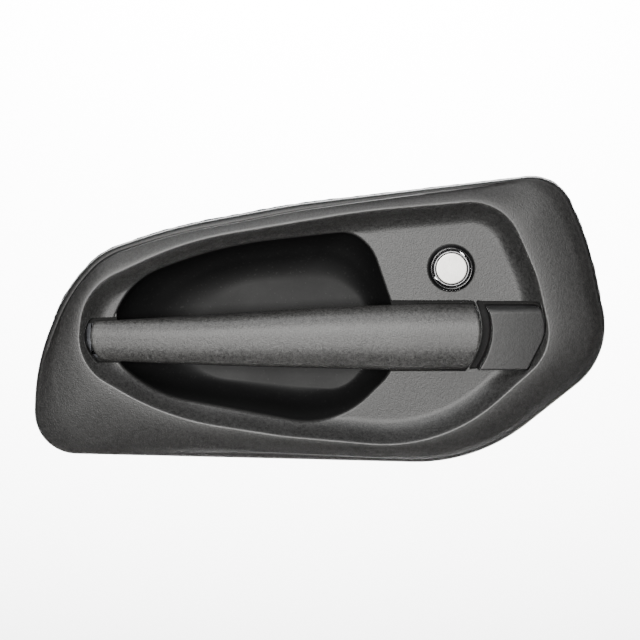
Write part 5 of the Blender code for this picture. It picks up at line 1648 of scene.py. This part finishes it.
@dataclass
class Button:
    """The push button: collar, barrel, nut, polished disc, plunger, spring and switch."""

    disc_edge: float = 0.35
    travel: float = 2.7

    def collar(self) -> None:
        """Builds the convex collar."""
        extent = Extent.of("button_collar")
        base, front, outer = extent.high[1], extent.low[1], extent.size[0] / 2
        bore = Extent.of("button_housing").size[0] / 2 + 0.3
        profile = [(base, bore), (base, outer - 0.25), (base - 0.25, outer)]
        for angle in np.radians(np.linspace(8, 90, 12)):
            along = base - 0.25 - (base - front - 0.25) * math.sin(angle)
            profile.append((along, outer - (outer - bore - 0.75) * (1 - math.cos(angle))))
        profile += [(front + 0.1, bore + 0.3), (front + 0.5, bore)]
        obj = turned("collar_ring", Axis.Y, tuple(extent.middle[[0, 2]]), profile, hollow=True, sides=96)
        present(shade(obj, 50), Finish.GLOSS, "button_collar")

    def barrel(self) -> None:
        """Builds the barrel with its thread and the nut on it."""
        extent = Extent.of("button_housing")
        front, back, outer = extent.low[1], extent.high[1], extent.size[0] / 2
        bore = Extent.of("button_cap").size[0] / 2 + 0.3
        profile: list[tuple] = [
            (front + 0.25, bore), (front, bore + 0.2), (front, outer - 0.4),
            (front + 0.35, outer - 0.05), (front + 9, outer - 0.05),
        ]
        for along in np.arange(front + 12.5, back - 1.4, 0.2):
            profile.append((along, outer, thread_lobe(along, 1.4, 0.03)))
        profile += [(back - 1.0, outer - 0.4), (back, outer - 0.7)]
        profile += [(back, 6.9), (back - 0.3, 6.6), (9.0, 6.6)]
        profile += [(9.0, 3.6), (6.0, 3.6), (6.0, bore)]
        obj = turned("barrel_casting", Axis.Y, tuple(extent.middle[[0, 2]]), profile, hollow=True, sides=72)
        present(shade(obj, 40), Finish.DIECAST, "button_housing")
        nut = Extent.of("housing_nut")
        low, high, reach, hole = nut.low[1], nut.high[1], nut.size[0] / 2, outer + 0.3
        rings = [
            (low, hole + 0.3), (low, reach * 0.86), (low + 0.7, reach, hex_lobe),
            (high - 0.7, reach, hex_lobe),
            (high, reach * 0.86), (high, hole + 0.3), (high - 0.4, hole), (low + 0.4, hole),
        ]
        obj = turned("nut_forging", Axis.Y, tuple(nut.middle[[0, 2]]), rings, hollow=True, sides=72)
        present(shade(obj, 30), Finish.ZINC, "housing_nut")

    def disc(self) -> None:
        """Builds the polished disc and the plunger behind it."""
        extent = Extent.of("button_cap")
        radius, soft = extent.size[0] / 2, self.disc_edge
        profile = [(0.0, 0.02 * radius)]
        profile += [(0.0, radius * share) for share in (0.3, 0.6, 0.9)]
        profile.append((0.0, radius - soft))
        profile += [
            (soft * (1 - math.cos(a)), radius - soft * (1 - math.sin(a))) for a in np.radians([25, 50, 75, 90])
        ]
        profile += [(extent.size[1], radius), (extent.size[1], 0.3)]
        along = [(extent.low[1] + at, reach) for at, reach in profile]
        obj = turned("disc_facing", Axis.Y, tuple(extent.middle[[0, 2]]), along, sides=96)
        present(shade(obj, 60), Finish.DISC, "button_cap")
        length = Extent.of("button_plunger").size[1]
        stem = [(0, 0.3), (0, 6.2), (1.6, 6.2), (1.6, 3.2), (length - 0.6, 3.2), (length, 2.4), (length, 0.3)]
        spindle("button_plunger", Axis.Y, stem, Finish.NYLON)

    def spring(self) -> None:
        """Builds the button's spring at its pressed length, its end turns closed."""
        extent = Extent.of("button_spring")
        coil = CoilSpring(wire=0.35, turns=5)
        radius = extent.size[0] / 2 - coil.wire
        low, high = extent.low[1] + coil.wire + self.travel, extent.high[1] - coil.wire
        along, across, up = coil.coil(radius, 0.0, 1.0, 0.0, False)
        share = np.clip((along - 0.16) / 0.68, 0, 1)
        x, _, z = extent.middle
        y = low + coil.wire * 2.1 * np.minimum(along / 0.16, 1) + (high - low - 4.2 * coil.wire) * share
        y += coil.wire * 2.1 * np.clip((along - 0.84) / 0.16, 0, 1)
        path = np.stack([x + across, y, z + up], axis=1)
        present(shade(sweep("button_spring_wound", path, coil.wire), 60), Finish.STEEL, "button_spring")

    def build(self) -> None:
        """Builds the button's pieces."""
        self.collar()
        self.barrel()
        self.disc()
        self.spring()
        refine("switch_body", Finish.MOULDED, 0.4)
        refine("switch_terminal_1", Finish.BRASS, 0.12)
        refine("switch_terminal_2", Finish.BRASS, 0.12)


@dataclass
class Hinge:
    """The grip's hinge: its bracket, pin, retaining clip and screws."""

    pin_radius: float = 2.0

    def build(self) -> None:
        """Builds the hinge's pieces."""
        refine("hinge_bracket", Finish.BLACK_ZINC, 0.35)
        refine("hinge_pin_clip", Finish.BLACK_ZINC, 0.12)
        length, r = Extent.of("hinge_pin").size[2], self.pin_radius
        head = length - 1.3
        shape = [
            (0, 0.3), (0, 0.75 * r), (0.45, r), (head, r), (head, 1.6 * r), (head + 0.7, 1.6 * r),
            (length, 1.0 * r),
            (length, 0.3),
        ]
        spindle("hinge_pin", Axis.Z, shape, Finish.STEEL, 0.2)
        for k in range(1, 3):
            Screw().build(f"hinge_bracket_screw_{k}")


@dataclass
class Mechanism:
    """The bracket, bell crank, counterweight, roller, rod clip, pin and return spring."""

    pin_radius: float = 2.5
    rivet_radius: float = 1.6
    wire: float = 0.55

    def rivet(self, node: str, head: float) -> None:
        """Builds a rivet with two domed heads."""
        length, r = Extent.of(node).size[0], self.rivet_radius
        shape = [(0, 0.2), (0.05, 0.45 * head), (0.3, 0.85 * head), (0.8, head), (0.8, r)]
        shape += [(length - x, reach) for x, reach in shape[::-1]]
        spindle(node, Axis.X, shape, Finish.STEEL, 0.1)

    def pin(self) -> None:
        """Builds the crank's pin."""
        length, r = Extent.of("crank_pin").size[0], self.pin_radius
        shape = [
            (0, 0.3), (0, 1.2 * r), (0.5, 1.6 * r), (1.4, 1.6 * r), (1.4, r), (length - 0.5, r),
            (length, 0.75 * r),
            (length, 0.3),
        ]
        spindle("crank_pin", Axis.X, shape, Finish.STEEL, 0.2)

    def spring(self) -> None:
        """Builds the return spring round the crank's hub, with its two legs."""
        extent = Extent.of("crank_spring")
        _, y, z = (value / MM for value in JOINTS["bell_crank_turn"]["pos_m"])
        radius = extent.high[2] - self.wire - z
        start, end = extent.low[0] + self.wire, extent.high[0] - self.wire
        along, across, up = CoilSpring(self.wire, 4).coil(radius, start, end, math.pi / 2, True)
        turns = np.stack([along, y + across, z + up], axis=1)
        places = np.linspace(extent.low[1] + self.wire, y - 1.0, 8)
        first = np.array([[start, at, z + radius] for at in places])
        last = np.array([[end, at, z + radius] for at in np.linspace(y + 1.0, extent.high[1] - 0.05, 7)])
        path = np.vstack([first, turns, last])
        present(shade(sweep("crank_spring_wound", path, self.wire), 60), Finish.STEEL, "crank_spring")

    def build(self) -> None:
        """Builds the mechanism's pieces."""
        refine("mechanism_bracket", Finish.BLACK_ZINC, 0.35)
        refine("bell_crank", Finish.DIECAST, 0.35)
        refine("rod_clip", Finish.MOULDED, 0.25)
        refine("crank_pin_clip", Finish.BLACK_ZINC, 0.12)
        tube("crank_bush", Axis.X, self.pin_radius + 0.3, Finish.NYLON)
        tube("crank_roller", Axis.X, 1.9, Finish.NYLON, 0.5)
        tube("counterweight", Axis.X, 1.9, Finish.ZINC, 0.6)
        self.rivet("roller_rivet", 2.7)
        self.rivet("counterweight_rivet", 3.2)
        self.pin()
        self.spring()
        for k in range(1, 5):
            Screw().build(f"mechanism_bracket_screw_{k}")


@dataclass
class Fixings:
    """The studs, locating clips, buffers and the screws of the cup and cap."""

    def build(self) -> None:
        """Builds the fixings."""
        for k in range(1, 5):
            Stud().build(f"mounting_stud_{k}")
            Screw().build(f"cup_screw_{k}")
        Screw().build("end_cap_screw")
        for k in range(1, 3):
            refine(f"locating_clip_{k}", Finish.BLACK_ZINC, 0.15)
            height = Extent.of(f"grip_buffer_{k}").size[1]
            shape = [(0, 0.2), (0.08, 1.2), (0.7, 2.05), (height, 2.1), (height, 0.2)]
            spindle(f"grip_buffer_{k}", Axis.Y, shape, Finish.RUBBER, 0.2)


# ---------------------------------------------------------------- studio


@dataclass
class Studio:
    """A white cove, a soft key above the camera, a weak warm bounce below, and the camera."""

    distance: float = 0.9
    tilt: float = 6.0
    lens: float = 101.25
    floor: float = -0.42
    floor_front: float = -0.1
    floor_back: float = 0.6
    bend: float = 1.2
    wall_top: float = 2.6
    half_width: float = 1.5
    air: float = 0.03
    key_power: float = 14.0
    bounce_power: float = 1.2
    front_power: float = 36.0
    wash_power: float = 340.0
    wash_size: tuple[float, float] = (1.8, 0.5)
    wash_place: tuple[float, float, float] = (0.0, 0.7, 0.95)
    wash_tilt: float = 80.0

    def cove(self) -> None:
        """A pale floor that curves up into a wall."""
        section = [(self.floor_front, self.floor), (self.floor_back, self.floor)]
        for angle in np.radians(np.linspace(0, 90, 37)[1:]):
            rise = self.bend * (1 - math.cos(angle))
            section.append((self.floor_back + self.bend * math.sin(angle), self.floor + rise))
        section.append((self.floor_back + self.bend, self.wall_top))
        points = [(x, y, z) for x in (-self.half_width, self.half_width) for y, z in section]
        count = len(section)
        faces = [(k, k + count, k + count + 1, k + 1) for k in range(count - 1)]
        cove = make_object("cove", np.array(points) / MM, faces)
        cove.data.shade_smooth()
        tree = Tree("cove_paint")
        cloud = tree.noise(tree.place(), 900.0, 1.0, 0.4)
        paint = tree.mix(cloud, (0.93, 0.93, 0.93), (0.96, 0.96, 0.96))
        cove.data.materials.append(tree.shine(Base_Color=paint, Roughness=0.9, Specular_IOR_Level=0.1))

    def area(
        self, name: str, place: Sequence[float], size: Sequence[float], power: float, colour: Colour
    ) -> None:
        """A soft rectangular light that faces the handle."""
        light = bpy.data.lights.new(name, "AREA")
        light.shape = "RECTANGLE"
        light.size, light.size_y = size
        light.energy = power
        light.color = colour
        obj = bpy.data.objects.new(name, light)
        obj.location = place
        obj.rotation_euler = Vector(place).to_track_quat("Z", "Y").to_euler()
        bpy.context.scene.collection.objects.link(obj)

    def wash(self) -> None:
        """A light behind the handle that turns away from it and washes the cove white."""
        light = bpy.data.lights.new("wash", "AREA")
        light.shape = "RECTANGLE"
        light.size, light.size_y = self.wash_size
        light.energy = self.wash_power
        obj = bpy.data.objects.new("wash", light)
        obj.location = self.wash_place
        obj.rotation_euler = (math.radians(self.wash_tilt), 0.0, 0.0)
        bpy.context.scene.collection.objects.link(obj)

    def world(self) -> None:
        """A plain white surrounding light."""
        world = bpy.data.worlds.new("studio_air")
        world.use_nodes = True
        background = world.node_tree.nodes["Background"]
        background.inputs["Color"].default_value = (1.0, 1.0, 1.0, 1.0)
        background.inputs["Strength"].default_value = self.air
        bpy.context.scene.world = world

    def camera(self) -> None:
        """The camera, straight in front and a little above."""
        data = bpy.data.cameras.new("camera")
        data.lens = self.lens
        data.clip_start = 0.05
        obj = bpy.data.objects.new("camera", data)
        angle = math.radians(self.tilt)
        obj.location = (0.0, -self.distance * math.cos(angle), self.distance * math.sin(angle))
        obj.rotation_euler = (math.radians(90) - angle, 0.0, 0.0)
        bpy.context.scene.collection.objects.link(obj)
        bpy.context.scene.camera = obj

    def build(self) -> None:
        """Sets up the studio."""
        self.cove()
        self.world()
        self.area("key", (-0.3, -1.1, 1.2), (1.2, 0.6), self.key_power, (1.0, 1.0, 1.0))
        self.area("front", (-0.12, -1.7, 0.16), (0.6, 0.4), self.front_power, (1.0, 0.99, 0.97))
        self.area("bounce", (0.0, -0.6, -1.2), (1.4, 0.8), self.bounce_power, (1.0, 0.98, 0.95))
        self.wash()
        self.camera()


def main() -> None:
    """Builds every piece, then the studio."""
    logging.basicConfig(level=logging.INFO, format="%(name)s: %(message)s")
    face, line = Face(), GripLine()
    Bezel(face, line).build()
    FingerCup(face).build()
    Gasket(face).build()
    EndCap(line).build()
    Grip(line).build()
    Hinge().build()
    Mechanism().build()
    Button().build()
    Fixings().build()
    Studio().build()


if __name__ == "__main__":
    main()
